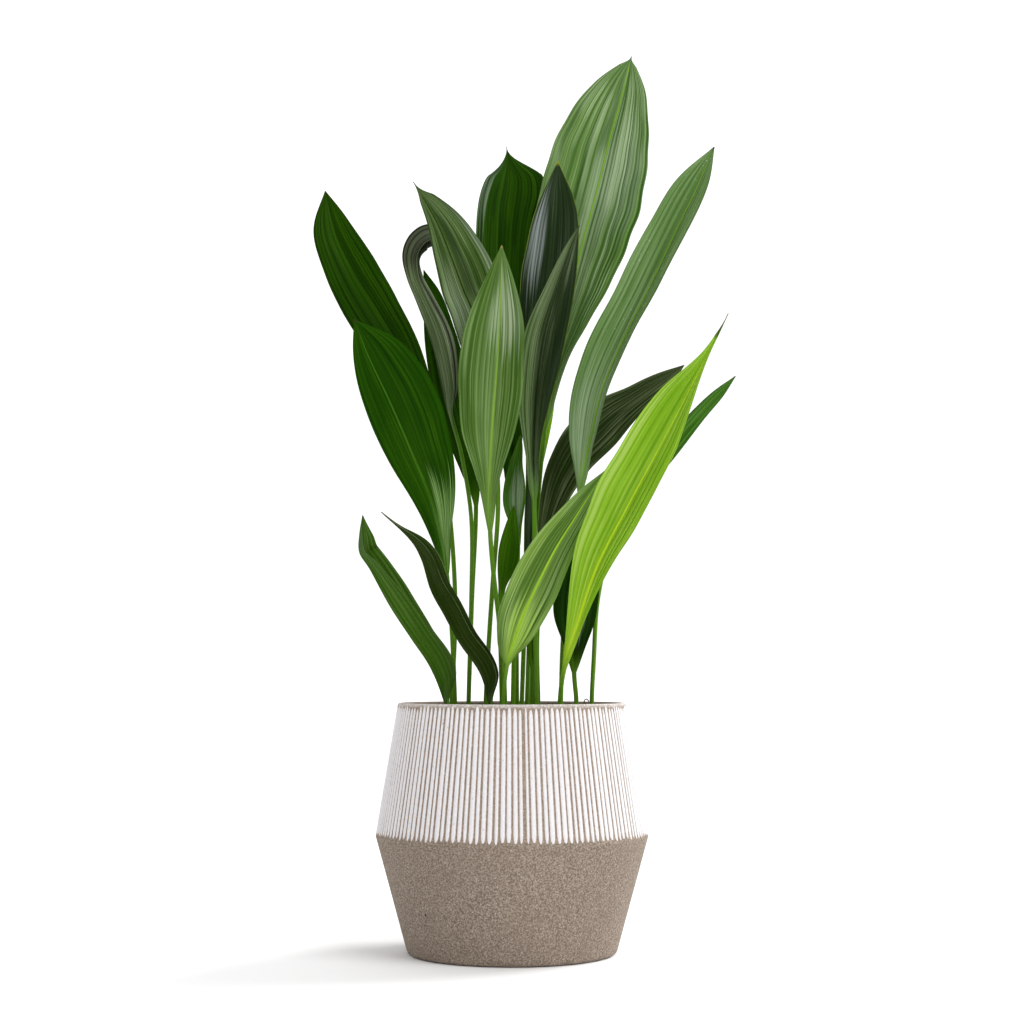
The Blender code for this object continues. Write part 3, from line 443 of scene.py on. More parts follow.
def leaf_rings(leaf, rng):
    """Every ring's points, and for each point where it is on the leaf."""
    run = smooth_run(leaf["path"])
    length = lengths_along(run)
    blade_start = length[int(leaf["blade_from"] * SPAN_SAMPLES)]
    blade_length = length[-1] - blade_start
    stalk_at = np.linspace(0.0, blade_start, STALK_RINGS, endpoint=False)
    blade_at = np.linspace(blade_start, length[-1], BLADE_RINGS)
    pleat_phase = rng.uniform(0.0, 2 * np.pi, 4)
    pleat_drift = waves(rng, 3, 0.5, 2.0)
    ripple = [waves(rng, 4, 4.0, 14.0), waves(rng, 4, 4.0, 14.0)]
    outline = [waves(rng, 3, 5.0, 22.0), waves(rng, 3, 5.0, 22.0)]
    rings, places, sizes, waves_here = [], [], [], []
    for at in np.concatenate([stalk_at, blade_at]):
        centre, ahead, behind = [np.array([np.interp(at + step, length, run[:, k])
                                           for k in range(3)]) for step in (0.0, 0.002, -0.002)]
        along = unit(ahead - behind)
        if at == 0.0:
            along = np.array([0.0, 0.0, 1.0])
        t = max(0.0, (at - blade_start) / blade_length)
        level = unit(np.cross(np.array([0.0, 1.0, 0.0]), along))
        turn = np.radians(eased(leaf["turn"], t))
        across = level * np.cos(turn) + np.cross(along, level) * np.sin(turn)
        upper = np.cross(across, along)
        fold = np.radians(eased(leaf["fold"], t))
        merge = smoothstep(t, 0.0, STALK_MERGE)
        stalk = STALK_RADIUS * (1.0 - t) + TIP_RADIUS * t

        share = ROUND * (1 - merge) + FLAT * merge
        right = share > 0
        reach = np.where(right, half_width(leaf["right"], t), half_width(leaf["left"], t))
        wobble = np.where(right, outline[1](at), outline[0](at))
        fullness = np.sqrt(np.clip(t * (1 - t) * 4, 0, 1))
        reach = np.maximum(reach * (1 + 0.012 * wobble * fullness) * tip_share(leaf, t), TIP_RADIUS)
        q = np.abs(share)
        from_midrib = q * reach

        channel = 1 - 0.22 * np.exp(-((RING_ANGLE - np.pi / 2) / 0.5) ** 2)
        lift_round = stalk * np.sin(RING_ANGLE) * channel
        edge_thin = np.sqrt(np.clip(1 - q ** 8, 0, 1))
        keel = 0.0014 * (1 - 0.75 * t) * np.exp(-(from_midrib / 0.0016) ** 2)
        groove = 0.0005 * (1 - 0.75 * t) * np.exp(-(from_midrib / 0.0009) ** 2)
        lift_flat = np.where(FACE > 0, BLADE_HALF_THICKNESS * edge_thin - groove,
                             -BLADE_HALF_THICKNESS * edge_thin - keel)
        lift_flat = np.clip(lift_flat, -stalk, stalk)

        size = np.clip(reach / 0.030, 0.0, 1.2)
        side = np.where(right, 1.0, 0.0)
        drift = pleat_drift(at)
        wave = (np.sin(2 * np.pi * 4.5 * q + pleat_phase[0] + side * 1.7 + 0.8 * drift)
                + 0.8 * np.sin(2 * np.pi * 8.0 * q + pleat_phase[1] + side * 2.9)
                + 0.35 * np.sin(2 * np.pi * 13.0 * q + pleat_phase[2]))
        pleats = wave * PLEAT_DEPTH * size * np.sqrt(np.clip(q * 3, 0, 1)) * (1 - q ** 6)
        edge_wave = np.where(right, ripple[1](at), ripple[0](at)) * q ** 2 * fullness
        edge_wave = edge_wave * EDGE_RIPPLE * size
        arch = HALF_ARCH * reach * 4 * q * (1 - q)
        relief = (pleats + edge_wave + arch) * merge

        rise = from_midrib * np.sin(fold) * merge + relief
        out = np.sign(share) * from_midrib * (1 - merge + np.cos(fold) * merge)
        lift = lift_round * (1 - merge) + lift_flat * merge
        rings.append(centre + np.outer(out, across) + np.outer(rise + lift, upper))
        places.append(np.column_stack([share, np.full(share.size, at - blade_start),
                                       np.full(share.size, t)]))
        beneath = np.where(FACE < 0, 1.0, 0.0)
        sizes.append(np.column_stack([from_midrib, reach - from_midrib, beneath]))
        waves_here.append(wave * np.clip(q * 6, 0, 1))
    return np.array(rings), np.vstack(places), np.vstack(sizes), np.concatenate(waves_here)


def ring_faces(rows, columns, first=0):
    """Quads between neighbouring rows of points that each go all the way round."""
    faces = []
    for row in range(rows - 1):
        here = first + row * columns
        for k in range(columns):
            after = (k + 1) % columns
            faces.append((here + k, here + after, here + columns + after, here + columns + k))
    return faces


def capped_rings(rows, columns, first=0):
    """The faces of a closed form through rings of points: its sides and both end caps."""
    faces = ring_faces(rows, columns, first)
    faces.append(tuple(range(first, first + columns))[::-1])
    faces.append(tuple(range(first + (rows - 1) * columns, first + rows * columns)))
    return faces


def add_mesh(name, points, faces, sharp=None, vectors=None, numbers=None):
    """A mesh object with smooth shading and named values at its points."""
    mesh = bpy.data.meshes.new(name)
    mesh.from_pydata([tuple(p) for p in points], [], faces)
    for title, values in (vectors or {}).items():
        store = mesh.attributes.new(title, "FLOAT_VECTOR", "POINT")
        store.data.foreach_set("vector", np.asarray(values, np.float32).ravel())
    for title, values in (numbers or {}).items():
        store = mesh.attributes.new(title, "FLOAT", "POINT")
        store.data.foreach_set("value", np.asarray(values, np.float32).ravel())
    shape = bmesh.new()
    shape.from_mesh(mesh)
    bmesh.ops.recalc_face_normals(shape, faces=shape.faces)
    shape.to_mesh(mesh)
    shape.free()
    mesh.shade_smooth()
    if sharp:
        mesh.set_sharp_from_angle(angle=np.radians(sharp))
    thing = bpy.data.objects.new(name, mesh)
    bpy.context.scene.collection.objects.link(thing)
    return thing


def make_leaf(name, leaf, index):
    rng = np.random.RandomState(100 + index)
    rings, places, sizes, pleats = leaf_rings(leaf, rng)
    return add_mesh(name, rings.reshape(-1, 3), capped_rings(*rings.shape[:2]), sharp=70,
                    vectors={"place": places, "size": sizes}, numbers={"pleat": pleats})


# ---------------------------------------------------------------- materials

class Graph:
    """A short way to write a material's nodes."""

    def __init__(self, name):
        self.material = bpy.data.materials.new(name)
        self.material.use_nodes = True
        self.tree = self.material.node_tree
        self.shader = self.tree.nodes["Principled BSDF"]
        self.output = self.tree.nodes["Material Output"]

    def put(self, socket, value):
        if isinstance(value, bpy.types.NodeSocket):
            self.tree.links.new(value, socket)
        elif isinstance(value, tuple) and len(value) == 3 and socket.type == "RGBA":
            socket.default_value = (*value, 1.0)
        else:
            socket.default_value = value

    def node(self, kind, inputs=(), **settings):
        node = self.tree.nodes.new(kind)
        for key, value in settings.items():
            setattr(node, key, value)
        for key, value in dict(inputs).items():
            self.put(node.inputs[key], value)
        return node

    def maths(self, operation, first, second=0.0):
        return self.node("ShaderNodeMath", {0: first, 1: second}, operation=operation).outputs[0]

    def times(self, first, second):
        return self.maths("MULTIPLY", first, second)

    def plus(self, first, second):
        return self.maths("ADD", first, second)

    def minus(self, first, second):
        return self.maths("SUBTRACT", first, second)

    def mix(self, share, first, second):
        node = self.node("ShaderNodeMix", data_type="RGBA")
        self.put(node.inputs["Factor"], share)
        self.put(node.inputs[6], first)
        self.put(node.inputs[7], second)
        return node.outputs[2]

    def ramp(self, value, low, high, start=0.0, end=1.0):
        node = self.node("ShaderNodeMapRange", {"Value": value, "From Min": low, "From Max": high,
                                                "To Min": start, "To Max": end},
                         interpolation_type="SMOOTHSTEP")
        return node.outputs["Result"]

    def attribute(self, name):
        return self.node("ShaderNodeAttribute", attribute_name=name).outputs

    def parts(self, vector):
        return self.node("ShaderNodeSeparateXYZ", {0: vector}).outputs

    def noise(self, vector, stretch, seed, detail, rough):
        """Noise on a vector that is first stretched and moved along by a seed."""
        placed = self.node("ShaderNodeMapping", {"Vector": vector, "Scale": stretch,
                                                 "Location": (seed, seed * 0.37, seed * 1.3)})
        made = self.node("ShaderNodeTexNoise", {"Vector": placed.outputs[0], "Scale": 1.0,
                                                "Detail": detail, "Roughness": rough})
        return made.outputs[0]

    def cells(self, vector, scale, seed):
        """How far each place is from the middle of its cell."""
        placed = self.node("ShaderNodeMapping", {"Vector": vector, "Location": (seed, seed, seed)})
        made = self.node("ShaderNodeTexVoronoi", {"Vector": placed.outputs[0], "Scale": scale})
        return made.outputs["Distance"]

    def cloud(self, point, scale, seed, detail, rough, low, high):
        """Noise that is alike in every direction, from 0 below a level to 1 above another."""
        return self.ramp(self.noise(point, (scale,) * 3, seed, detail, rough), low, high)

    def specks(self, point, scale, seed, low, high):
        """Round spots, 1 in their middles and 0 outside."""
        return self.ramp(self.cells(point, scale, seed), low, high, 1.0, 0.0)

    def bump(self, height, distance, strength):
        inputs = {"Height": height, "Distance": distance, "Strength": strength}
        return self.node("ShaderNodeBump", inputs).outputs[0]

    def finish(self, **inputs):
        for key, value in inputs.items():
            self.put(self.shader.inputs[key.replace("_", " ")], value)
        return self.material


def leaf_material(name, look, widest, seed):
    """Parallel veins and streaks that follow the blade, a midrib, a margin and a soft gloss."""
    graph = Graph(name)
    place = graph.attribute("place")["Vector"]
    size = graph.attribute("size")["Vector"]
    share, along, t = graph.parts(place)
    from_midrib, from_margin, beneath = graph.parts(size)
    streak = look["streak"]
    veins = widest / VEINED_WIDTH
    broadness = graph.ramp(graph.plus(from_midrib, from_margin), 0.003, 0.014)

    def streaks(across, lengthways, shift, low, high, detail=2.0, rough=0.5):
        """Lines along the veins that calm down where the blade is narrow."""
        lines = graph.noise(place, (across * veins, lengthways, 0.0), seed + shift, detail, rough)
        lines = graph.minus(graph.ramp(lines, low, high), 0.5)
        return graph.plus(graph.times(lines, broadness), 0.5)

    pleat = graph.attribute("pleat")["Fac"]
    fine = streaks(24.0, 2.4, 0.0, 0.38, 0.62, 2.0, 0.6)
    medium = streaks(9.0, 1.6, 3.0, 0.40, 0.60)
    hair = streaks(42.0, 5.0, 5.0, 0.4, 0.6, 1.0)
    broad = graph.ramp(graph.noise(place, (1.6, 11.0, 0.0), seed + 7.0, 1.0, 0.5), 0.36, 0.64)
    patch = graph.ramp(graph.noise(place, (3.6, 7.0, 0.0), seed + 9.0, 2.0, 0.55), 0.46, 0.70)
    # painted shade: the pleats' creases take the deep tone; painted sheen: their crests take the pale
    # tone
    pleat_crease_shade = graph.ramp(pleat, -1.5, 0.1, 0.85 * streak, 0.0)
    pleat_crest_sheen = graph.ramp(pleat, 0.2, 1.6, 0.0, 0.6 * streak)

    colour = graph.mix(graph.times(medium, 0.6 * streak), look["main"], look["deep"])
    colour = graph.mix(pleat_crease_shade, colour, look["deep"])
    # painted shade: the right half darkens to the side tone
    if "side" in look:
        colour = graph.mix(graph.ramp(share, -0.02, 0.10, 0.0, 0.85), colour, look["side"])
    pale = graph.times(fine, graph.ramp(broad, 0.0, 1.0, 0.12 * streak, 0.6 * streak))
    colour = graph.mix(graph.maths("MAXIMUM", pale, graph.times(pleat_crest_sheen, fine)), colour, look["pale"])
    colour = graph.mix(graph.times(hair, 0.35 * streak), colour, look["deep"])
    # painted sheen: pale patches along the fine streaks
    patchy_sheen = graph.times(graph.times(patch, fine), 0.35 * streak)
    colour = graph.mix(patchy_sheen, colour, look["pale"])

    ragged = graph.noise(place, (20.0 * veins, 0.0, 0.0), seed + 13.0, 2.0, 0.6)
    ragged_t = graph.plus(t, graph.times(graph.minus(ragged, 0.5), 0.5))
    for shine_share, shine_t, wide, long, strength in look.get("shine", ()):
        aside = graph.maths("DIVIDE", graph.minus(share, shine_share), wide)
        ahead = graph.maths("DIVIDE", graph.minus(ragged_t, shine_t), long)
        away = graph.plus(graph.times(aside, aside), graph.times(ahead, ahead))
        spot = graph.times(graph.ramp(away, 0.0, 1.0, strength, 0.0),
                           graph.ramp(fine, 0.0, 1.0, 0.3, 1.0))
        colour = graph.mix(spot, colour, look.get("shine_tone", tone(176, 190, 168)))

    if "dust" in look:
        point = graph.node("ShaderNodeTexCoord").outputs["Object"]
        fleck = graph.specks(point, 260.0, seed, 0.10, 0.20)
        where = graph.ramp(graph.noise(point, (90.0,) * 3, seed, 2.0, 0.6), 0.52, 0.66)
        fleck = graph.times(graph.times(fleck, where), look["dust"])
        colour = graph.mix(graph.times(fleck, graph.ramp(t, 0.2, 0.7)), colour, tone(205, 212, 200))

    heart = graph.times(graph.ramp(from_midrib, 0.0, 0.010, 0.35, 0.0),
                        graph.ramp(t, 0.0, 0.55, 1.0, 0.0))
    colour = graph.mix(graph.times(heart, look["line"]), colour, look["rib"])
    line_width = graph.ramp(t, 0.0, 1.0, 0.0019, 0.0006)
    line = graph.maths("DIVIDE", from_midrib, line_width)
    line = graph.times(graph.ramp(line, 0.55, 1.15, look["line"], 0.0), broadness)
    colour = graph.mix(line, colour, look["rib"])

    margin_wear = graph.noise(place, (2.0, 60.0, 0.0), seed + 11.0, 2.0, 0.6)
    margin = graph.ramp(from_margin, 0.0002, 0.0011, 0.8, 0.0)
    margin = graph.times(margin, graph.ramp(margin_wear, 0.3, 0.6, 0.35, 1.0))
    margin = graph.times(margin, graph.ramp(along, 0.0, 0.03))
    colour = graph.mix(margin, colour, look["margin"])
    tip_start, tip_end = look.get("tip_at", (0.985, 1.0))
    colour = graph.mix(graph.ramp(t, tip_start, tip_end, 0.0, 0.85), colour,
                       look.get("tip", tone(60, 50, 28)))

    stalk = graph.ramp(along, -0.02, 0.03, 1.0, 0.0)
    stalk_green = graph.mix(graph.times(fine, 0.6), tone(100, 146, 36), tone(44, 82, 10))
    colour = graph.mix(stalk, colour, stalk_green)
    colour = graph.mix(graph.times(beneath, look.get("flat", 0.4)), colour,
                       look.get("beneath", look["main"]))
    if "far" in look:
        far_tone, far_start, far_end = look["far"]
        far = graph.mix(graph.times(fine, 0.18), far_tone, look["pale"])
        colour = graph.mix(graph.ramp(t, far_start, far_end, 0.0, 0.92), colour, far)

    height = graph.plus(graph.times(fine, 0.6), graph.times(hair, 0.25))
    height = graph.plus(height, graph.times(medium, 0.5))
    height = graph.times(height, graph.ramp(graph.plus(from_midrib, from_margin), 0.008, 0.026))
    normal = graph.bump(height, 0.0004, 0.5)
    roughness = graph.ramp(graph.plus(fine, patch), 0.0, 2.0, 0.46, 0.34)
    graph.finish(Base_Color=colour, Roughness=roughness, Normal=normal,
                 Specular_IOR_Level=look.get("gloss", 0.02))

    through = graph.node("ShaderNodeBsdfTranslucent", {"Color": graph.mix(0.5, colour, look["pale"]),
                                                       "Normal": normal})
    mixed = graph.node("ShaderNodeMixShader", {0: look.get("glow", 0.10),
                                               1: graph.shader.outputs[0], 2: through.outputs[0]})
    graph.tree.links.new(mixed.outputs[0], graph.output.inputs[0])
    return graph.material


def stoneware_material():
    """Bare speckled stoneware, with white slip on the ribs' crowns and a pale worn lip."""
    graph = Graph("stoneware")
    point = graph.node("ShaderNodeTexCoord").outputs["Object"]
    crown = graph.attribute("crown")["Fac"]
    height = graph.parts(point)[2]
    inside = graph.attribute("inside")["Fac"]

    grain = graph.cloud(point, 620.0, 1.0, 2.0, 0.6, 0.34, 0.66)
    clouds = graph.cloud(point, 16.0, 4.0, 3.0, 0.6, 0.35, 0.65)
    speck = graph.specks(point, 560.0, 2.0, 0.16, 0.40)
    some = graph.cloud(point, 300.0, 9.0, 1.0, 0.5, 0.46, 0.58)
    dark_speck = graph.specks(point, 300.0, 5.0, 0.10, 0.30)
    rare = graph.cloud(point, 170.0, 12.0, 1.0, 0.5, 0.60, 0.68)
    pit = graph.specks(point, 60.0, 8.0, 0.06, 0.11)
    few = graph.cloud(point, 33.0, 17.0, 1.0, 0.5, 0.62, 0.66)
    pit = graph.times(pit, few)

    stone = graph.mix(grain, tone(108, 94, 81), tone(158, 144, 131))
    stone = graph.mix(graph.times(clouds, 0.25), stone, tone(128, 112, 98))
    stone = graph.mix(graph.times(graph.times(speck, some), 0.6), stone, tone(206, 195, 180))
    stone = graph.mix(graph.times(graph.times(dark_speck, rare), 0.6), stone, tone(84, 70, 58))
    stone = graph.mix(pit, stone, tone(52, 42, 34))

    edge_noise = graph.ramp(graph.noise(point, (420.0,) * 3, 21.0, 2.0, 0.6), 0.0, 1.0, -0.0002,
                            0.0002)
    slip = graph.ramp(graph.plus(crown, edge_noise), -0.0001, 0.00035)
    pinhole = graph.specks(point, 190.0, 31.0, 0.10, 0.2)
    seldom = graph.cloud(point, 60.0, 27.0, 1.0, 0.5, 0.58, 0.66)
    slip = graph.times(slip, graph.minus(1.0, graph.times(graph.times(pinhole, seldom), 0.4)))
    away = graph.node("ShaderNodeVectorMath", {0: point, 1: BLEMISH},
                      operation="DISTANCE").outputs["Value"]
    ring = graph.maths("ABSOLUTE", graph.minus(away, BLEMISH_RADIUS))
    worn = graph.times(graph.ramp(ring, 0.0003, 0.0012, 0.9, 0.0), grain)
    slip = graph.times(slip, graph.minus(1.0, worn))
    white = graph.mix(graph.times(grain, 0.35), tone(228, 225, 227), tone(204, 199, 200))
    groove = graph.mix(0.4, stone, tone(168, 146, 128))
    upper = graph.ramp(height, WAIST_HEIGHT + 0.0015, WAIST_HEIGHT + 0.004)
    colour = graph.mix(graph.times(upper, 0.8), stone, groove)
    lip = graph.ramp(height, RIB_TOP - 0.004, RIB_TOP + 0.0005)
    lip_tone = graph.mix(grain, tone(172, 164, 158), tone(226, 222, 218))
    colour = graph.mix(graph.times(lip, 0.8), colour, lip_tone)
    colour = graph.mix(slip, colour, white)
    inner = graph.mix(grain, tone(104, 92, 82), tone(132, 120, 110))
    colour = graph.mix(inside, colour, inner)

    rise = graph.plus(graph.times(grain, 0.5), graph.times(speck, 0.3))
    rise = graph.minus(rise, graph.times(pit, 1.5))
    normal = graph.bump(rise, 0.0005, 0.6)
    rough = graph.ramp(slip, 0.0, 1.0, 0.88, 0.62)
    return graph.finish(Base_Color=colour, Roughness=rough, Normal=normal, Specular_IOR_Level=0.3)


def soil_material():
    graph = Graph("potting_mix")
    point = graph.node("ShaderNodeTexCoord").outputs["Object"]
    lumps = graph.cloud(point, 240.0, 1.0, 4.0, 0.7, 0.3, 0.7)
    damp = graph.cloud(point, 28.0, 5.0, 2.0, 0.5, 0.35, 0.65)
    crumb = graph.ramp(graph.cells(point, 330.0, 3.0), 0.1, 0.6)
    colour = graph.mix(lumps, tone(34, 25, 18), tone(84, 64, 46))
    colour = graph.mix(graph.times(damp, 0.5), colour, tone(24, 18, 13))
    normal = graph.bump(graph.plus(lumps, crumb), 0.0012, 0.9)
    return graph.finish(Base_Color=colour, Roughness=graph.ramp(damp, 0.0, 1.0, 0.95, 0.7),
                        Normal=normal, Specular_IOR_Level=0.2)


def bark_material(name, dark, light, scale):
    """Scaly, fibrous brown skin, for bark chips, the rhizome and its dry sheaths."""
    graph = Graph(name)
    point = graph.node("ShaderNodeTexCoord").outputs["Object"]
    fibre = graph.ramp(graph.noise(point, (scale, scale * 0.25, scale), 2.0, 4.0, 0.65), 0.32, 0.68)
    flake = graph.ramp(graph.cells(point, scale * 0.5, 6.0), 0.05, 0.5)
    colour = graph.mix(fibre, dark, light)
    colour = graph.mix(graph.times(flake, 0.35), colour, dark)
    normal = graph.bump(graph.plus(fibre, flake), 0.0006, 0.8)
    return graph.finish(Base_Color=colour, Roughness=graph.ramp(fibre, 0.0, 1.0, 0.9, 0.7),
                        Normal=normal, Specular_IOR_Level=0.2)


def perlite_material():
    graph = Graph("perlite")
    point = graph.node("ShaderNodeTexCoord").outputs["Object"]
    pores = graph.ramp(graph.cells(point, 1500.0, 1.0), 0.1, 0.6)
    stain = graph.cloud(point, 420.0, 3.0, 2.0, 0.6, 0.4, 0.7)
    colour = graph.mix(graph.times(stain, 0.5), tone(222, 216, 204), tone(150, 134, 112))
    return graph.finish(Base_Color=colour, Roughness=graph.ramp(pores, 0.0, 1.0, 0.95, 0.8),
                        Normal=graph.bump(pores, 0.0004, 0.7), Specular_IOR_Level=0.2)


# ---------------------------------------------------------------- the planter

def rounded(corner, before, after, radius, steps):
    """The points of an arc that rounds a profile's corner."""
    corner, before, after = Vector(corner), Vector(before), Vector(after)
    to_before = (before - corner).normalized()
    to_after = (after - corner).normalized()
    half = to_before.angle(to_after) / 2.0
    reach = radius / np.tan(half)
    centre = corner + (to_before + to_after).normalized() * (radius / np.sin(half))
    start = corner + to_before * reach - centre
    end = corner + to_after * reach - centre
    spokes = [start.lerp(end, k / steps).normalized() * radius for k in range(steps + 1)]
    return [tuple(centre + spoke) for spoke in spokes]


def spaced(start, end, count):
    """Profile points strictly between two others."""
    shares = np.arange(1, count + 1) / (count + 1)
    return [tuple(np.array(start) * (1 - s) + np.array(end) * s) for s in shares]


def planter_profile():
    """Radius and height from the inside floor up over the lip and down to the foot's middle."""
    rim_in = (RIM_RADIUS - WALL, POT_HEIGHT)
    waist_in = (WAIST_RADIUS - WALL, WAIST_HEIGHT)
    floor_in = (FOOT_RADIUS - WALL, FLOOR)
    rim, waist, foot = (RIM_RADIUS, POT_HEIGHT), (WAIST_RADIUS, WAIST_HEIGHT), (FOOT_RADIUS, 0.0)
    inner = spaced((0.0, FLOOR), floor_in, 3) + [floor_in] + spaced(floor_in, waist_in, 4)
    inner += [waist_in] + spaced(waist_in, rim_in, 6)
    inner += rounded(rim_in, waist_in, rim, EDGE_ROUND, 5)
    outer = rounded(rim, rim_in, waist, EDGE_ROUND, 5)
    waist_arc = rounded(waist, rim, foot, WAIST_ROUND, 8)
    foot_arc = rounded(foot, waist, (0.0, 0.0), FOOT_ROUND, 6)
    top_zone = tuple(np.array(rim) + (np.array(waist) - np.array(rim)) * 0.15)
    low_zone = tuple(np.array(rim) + (np.array(waist) - np.array(rim)) * 0.86)
    outer += spaced(outer[-1], top_zone, 16) + [top_zone]
    outer += spaced(top_zone, low_zone, 14) + [low_zone]
    outer += spaced(low_zone, waist_arc[0], 16)
    outer += waist_arc + spaced(waist_arc[-1], foot_arc[0], 26) + foot_arc
    outer += spaced(foot_arc[-1], (0.0, 0.0), 2)
    return inner, outer


def make_planter():
    rng = np.random.RandomState(7)
    pitch = 2 * np.pi / RIB_COUNT
    middle_radius = (RIM_RADIUS + WAIST_RADIUS) / 2
    bounds = (np.arange(RIB_COUNT) + rng.uniform(-0.09, 0.09, RIB_COUNT)) * pitch
    halves = GROOVE_HALF * rng.uniform(0.7, 1.3, RIB_COUNT)
    wide_at = WIDE_GROOVE_AT % (2 * np.pi)
    wide = int(np.argmin(np.abs(bounds - wide_at)))
    bounds[wide] = wide_at
    halves[wide] = WIDE_GROOVE_HALF
    rib_tops = RIB_TOP - rng.uniform(0.0, 0.0035, RIB_COUNT)
    rib_feet = RIB_FOOT + rng.uniform(-0.0006, 0.0008, RIB_COUNT)

    angles, offsets, half_crowns, tops, feet = [], [], [], [], []
    for rib in range(RIB_COUNT):
        start = bounds[rib]
        end = bounds[(rib + 1) % RIB_COUNT] + (2 * np.pi if rib == RIB_COUNT - 1 else 0.0)
        gap_start = halves[rib] / middle_radius
        gap_end = halves[(rib + 1) % RIB_COUNT] / middle_radius
        first, last = start + gap_start, end - gap_end
        crown = last - first
        centre = (first + last) / 2
        for angle in (start, start + 0.6 * gap_start, first, first + 0.12 * crown,
                      first + 0.3 * crown, centre, last - 0.3 * crown, last - 0.12 * crown, last,
                      last + 0.4 * gap_end):
            angles.append(angle)
            offsets.append(abs(angle - centre))
            half_crowns.append(crown / 2)
            tops.append(rib_tops[rib])
            feet.append(rib_feet[rib])
    angles, offsets, half_crowns = np.array(angles), np.array(offsets), np.array(half_crowns)
    tops, feet = np.array(tops), np.array(feet)
    columns = len(angles)

    inner, outer = planter_profile()
    profile = inner + outer
    points, crowns, insides = [], [], []
    for row, (radius, height) in enumerate(profile):
        outside = row >= len(inner)
        crown = np.full(columns, OFF_CROWN)
        surface = np.full(columns, radius)
        if outside and height > WAIST_HEIGHT - 0.004:
            end_gap = np.minimum(tops - height, height - feet)
            taper = np.clip(end_gap / RIB_TAPER, 0.0, 1.0)
            allowed = half_crowns * radius * np.sqrt(1 - (1 - taper) ** 2)
            crown = np.where(end_gap > 0, allowed - offsets * radius, OFF_CROWN)
            raised = smoothstep(crown, -0.0003, 0.0009)
            upper_band = smoothstep(height, WAIST_HEIGHT - 0.001, WAIST_HEIGHT + 0.006)
            lip_band = 1 - smoothstep(height, RIB_TOP - 0.003, RIB_TOP + 0.0008)
            surface = radius - RIB_RELIEF * (1 - raised) * upper_band * lip_band
        if outside and height < 0.004:
            chips = np.array([noise.noise(Vector((np.cos(a) * 9, np.sin(a) * 9, 2.0)))
                              + 0.6 * noise.noise(Vector((np.cos(a) * 31, np.sin(a) * 31, 5.0)))
                              for a in angles])
            if radius > FOOT_RADIUS * 0.9:
                surface = surface - 0.0009 * np.clip(chips, 0.0, 1.0)
        points.append(np.column_stack([surface * np.cos(angles), surface * np.sin(angles),
                                       np.full(columns, height)]))
        crowns.append(crown)
        insides.append(np.full(columns, 0.0 if outside else 1.0))
    points = np.vstack(points)
    faces = ring_faces(len(profile), columns)
    floor_pole = len(points)
    foot_pole = floor_pole + 1
    last_row = (len(profile) - 1) * columns
    for k in range(columns):
        after = (k + 1) % columns
        faces.append((floor_pole, after, k))
        faces.append((foot_pole, last_row + k, last_row + after))
    points = np.vstack([points, [[0.0, 0.0, FLOOR], [0.0, 0.0, 0.0]]])
    crowns = np.concatenate(crowns + [[OFF_CROWN, OFF_CROWN]])
    insides = np.concatenate(insides + [[1.0, 0.0]])
    pot = add_mesh("planter", points, faces, numbers={"crown": crowns, "inside": insides})
    pot.data.materials.append(stoneware_material())
    return pot


# ---------------------------------------------------------------- soil and rhizome

def soil_height(x, y):
    """The lumpy surface of the potting mix."""
    here = Vector((x, y, 0.0))
    return (SOIL_TOP + 0.0016 * noise.noise(here * 45) + 0.0011 * noise.noise(here * 130)
            + 0.0007 * noise.noise(here * 320))


def make_soil():
    rng = np.random.RandomState(21)
    turns = np.linspace(0.0, 2 * np.pi, SOIL_COLUMNS, endpoint=False)
    share = (SOIL_TOP - WAIST_HEIGHT) / (POT_HEIGHT - WAIST_HEIGHT)
    top_radius = WAIST_RADIUS + (RIM_RADIUS - WAIST_RADIUS) * share - WALL - SOIL_GAP
    points = []
    radii = np.linspace(0.002, top_radius, SOIL_RINGS)
    for radius in radii:
        for turn in turns:
            x, y = radius * np.cos(turn), radius * np.sin(turn)
            points.append((x, y, soil_height(x, y)))
    side = [(WAIST_RADIUS - WALL - SOIL_GAP, WAIST_HEIGHT),
            (FOOT_RADIUS - WALL - SOIL_GAP, FLOOR + SOIL_GAP)]
    for radius, height in side:
        points += [(radius * np.cos(turn), radius * np.sin(turn), height) for turn in turns]
    faces = capped_rings(len(radii) + len(side), SOIL_COLUMNS)
    soil = add_mesh("potting_mix", points, faces)

    shape = bmesh.new()
    shape.from_mesh(soil.data)
    feet = [leaf["path"][0] for leaf in LEAVES.values()]
    for grain in range(GRAIN_COUNT):
        bark = grain % 3 != 0
        radius = (top_radius - 0.006) * np.sqrt(rng.uniform())
        turn = rng.uniform(0.0, 2 * np.pi)
        x, y = radius * np.cos(turn), radius * np.sin(turn)
        size = rng.uniform(0.0014, 0.0034) if bark else rng.uniform(0.0007, 0.0016)
        spin = Euler(rng.uniform(0.0, 2 * np.pi, 3)).to_matrix().to_4x4()
        stretch = Matrix.Diagonal((*rng.uniform(0.45, 1.5 if bark else 1.0, 3), 1.0))
        if min(np.hypot(x - foot[0], y - foot[1]) for foot in feet) < 0.0045 + size:
            continue
        place = Matrix.Translation((x, y, soil_height(x, y) + 0.15 * size))
        made = bmesh.ops.create_icosphere(shape, subdivisions=2, radius=size)
        for corner in made["verts"]:
            rough = noise.noise(corner.co * 700 + Vector((grain, 0.0, 0.0)))
            corner.co = place @ spin @ stretch @ (corner.co * (1 + 0.45 * rough))
        for face in {face for corner in made["verts"] for face in corner.link_faces}:
            face.material_index = 1 if bark else 2
            face.smooth = not bark
    shape.to_mesh(soil.data)
    shape.free()
    soil.data.materials.append(soil_material())
    soil.data.materials.append(bark_material("bark_chips", tone(46, 32, 22), tone(120, 86, 56), 520.0))
    soil.data.materials.append(perlite_material())
    return soil


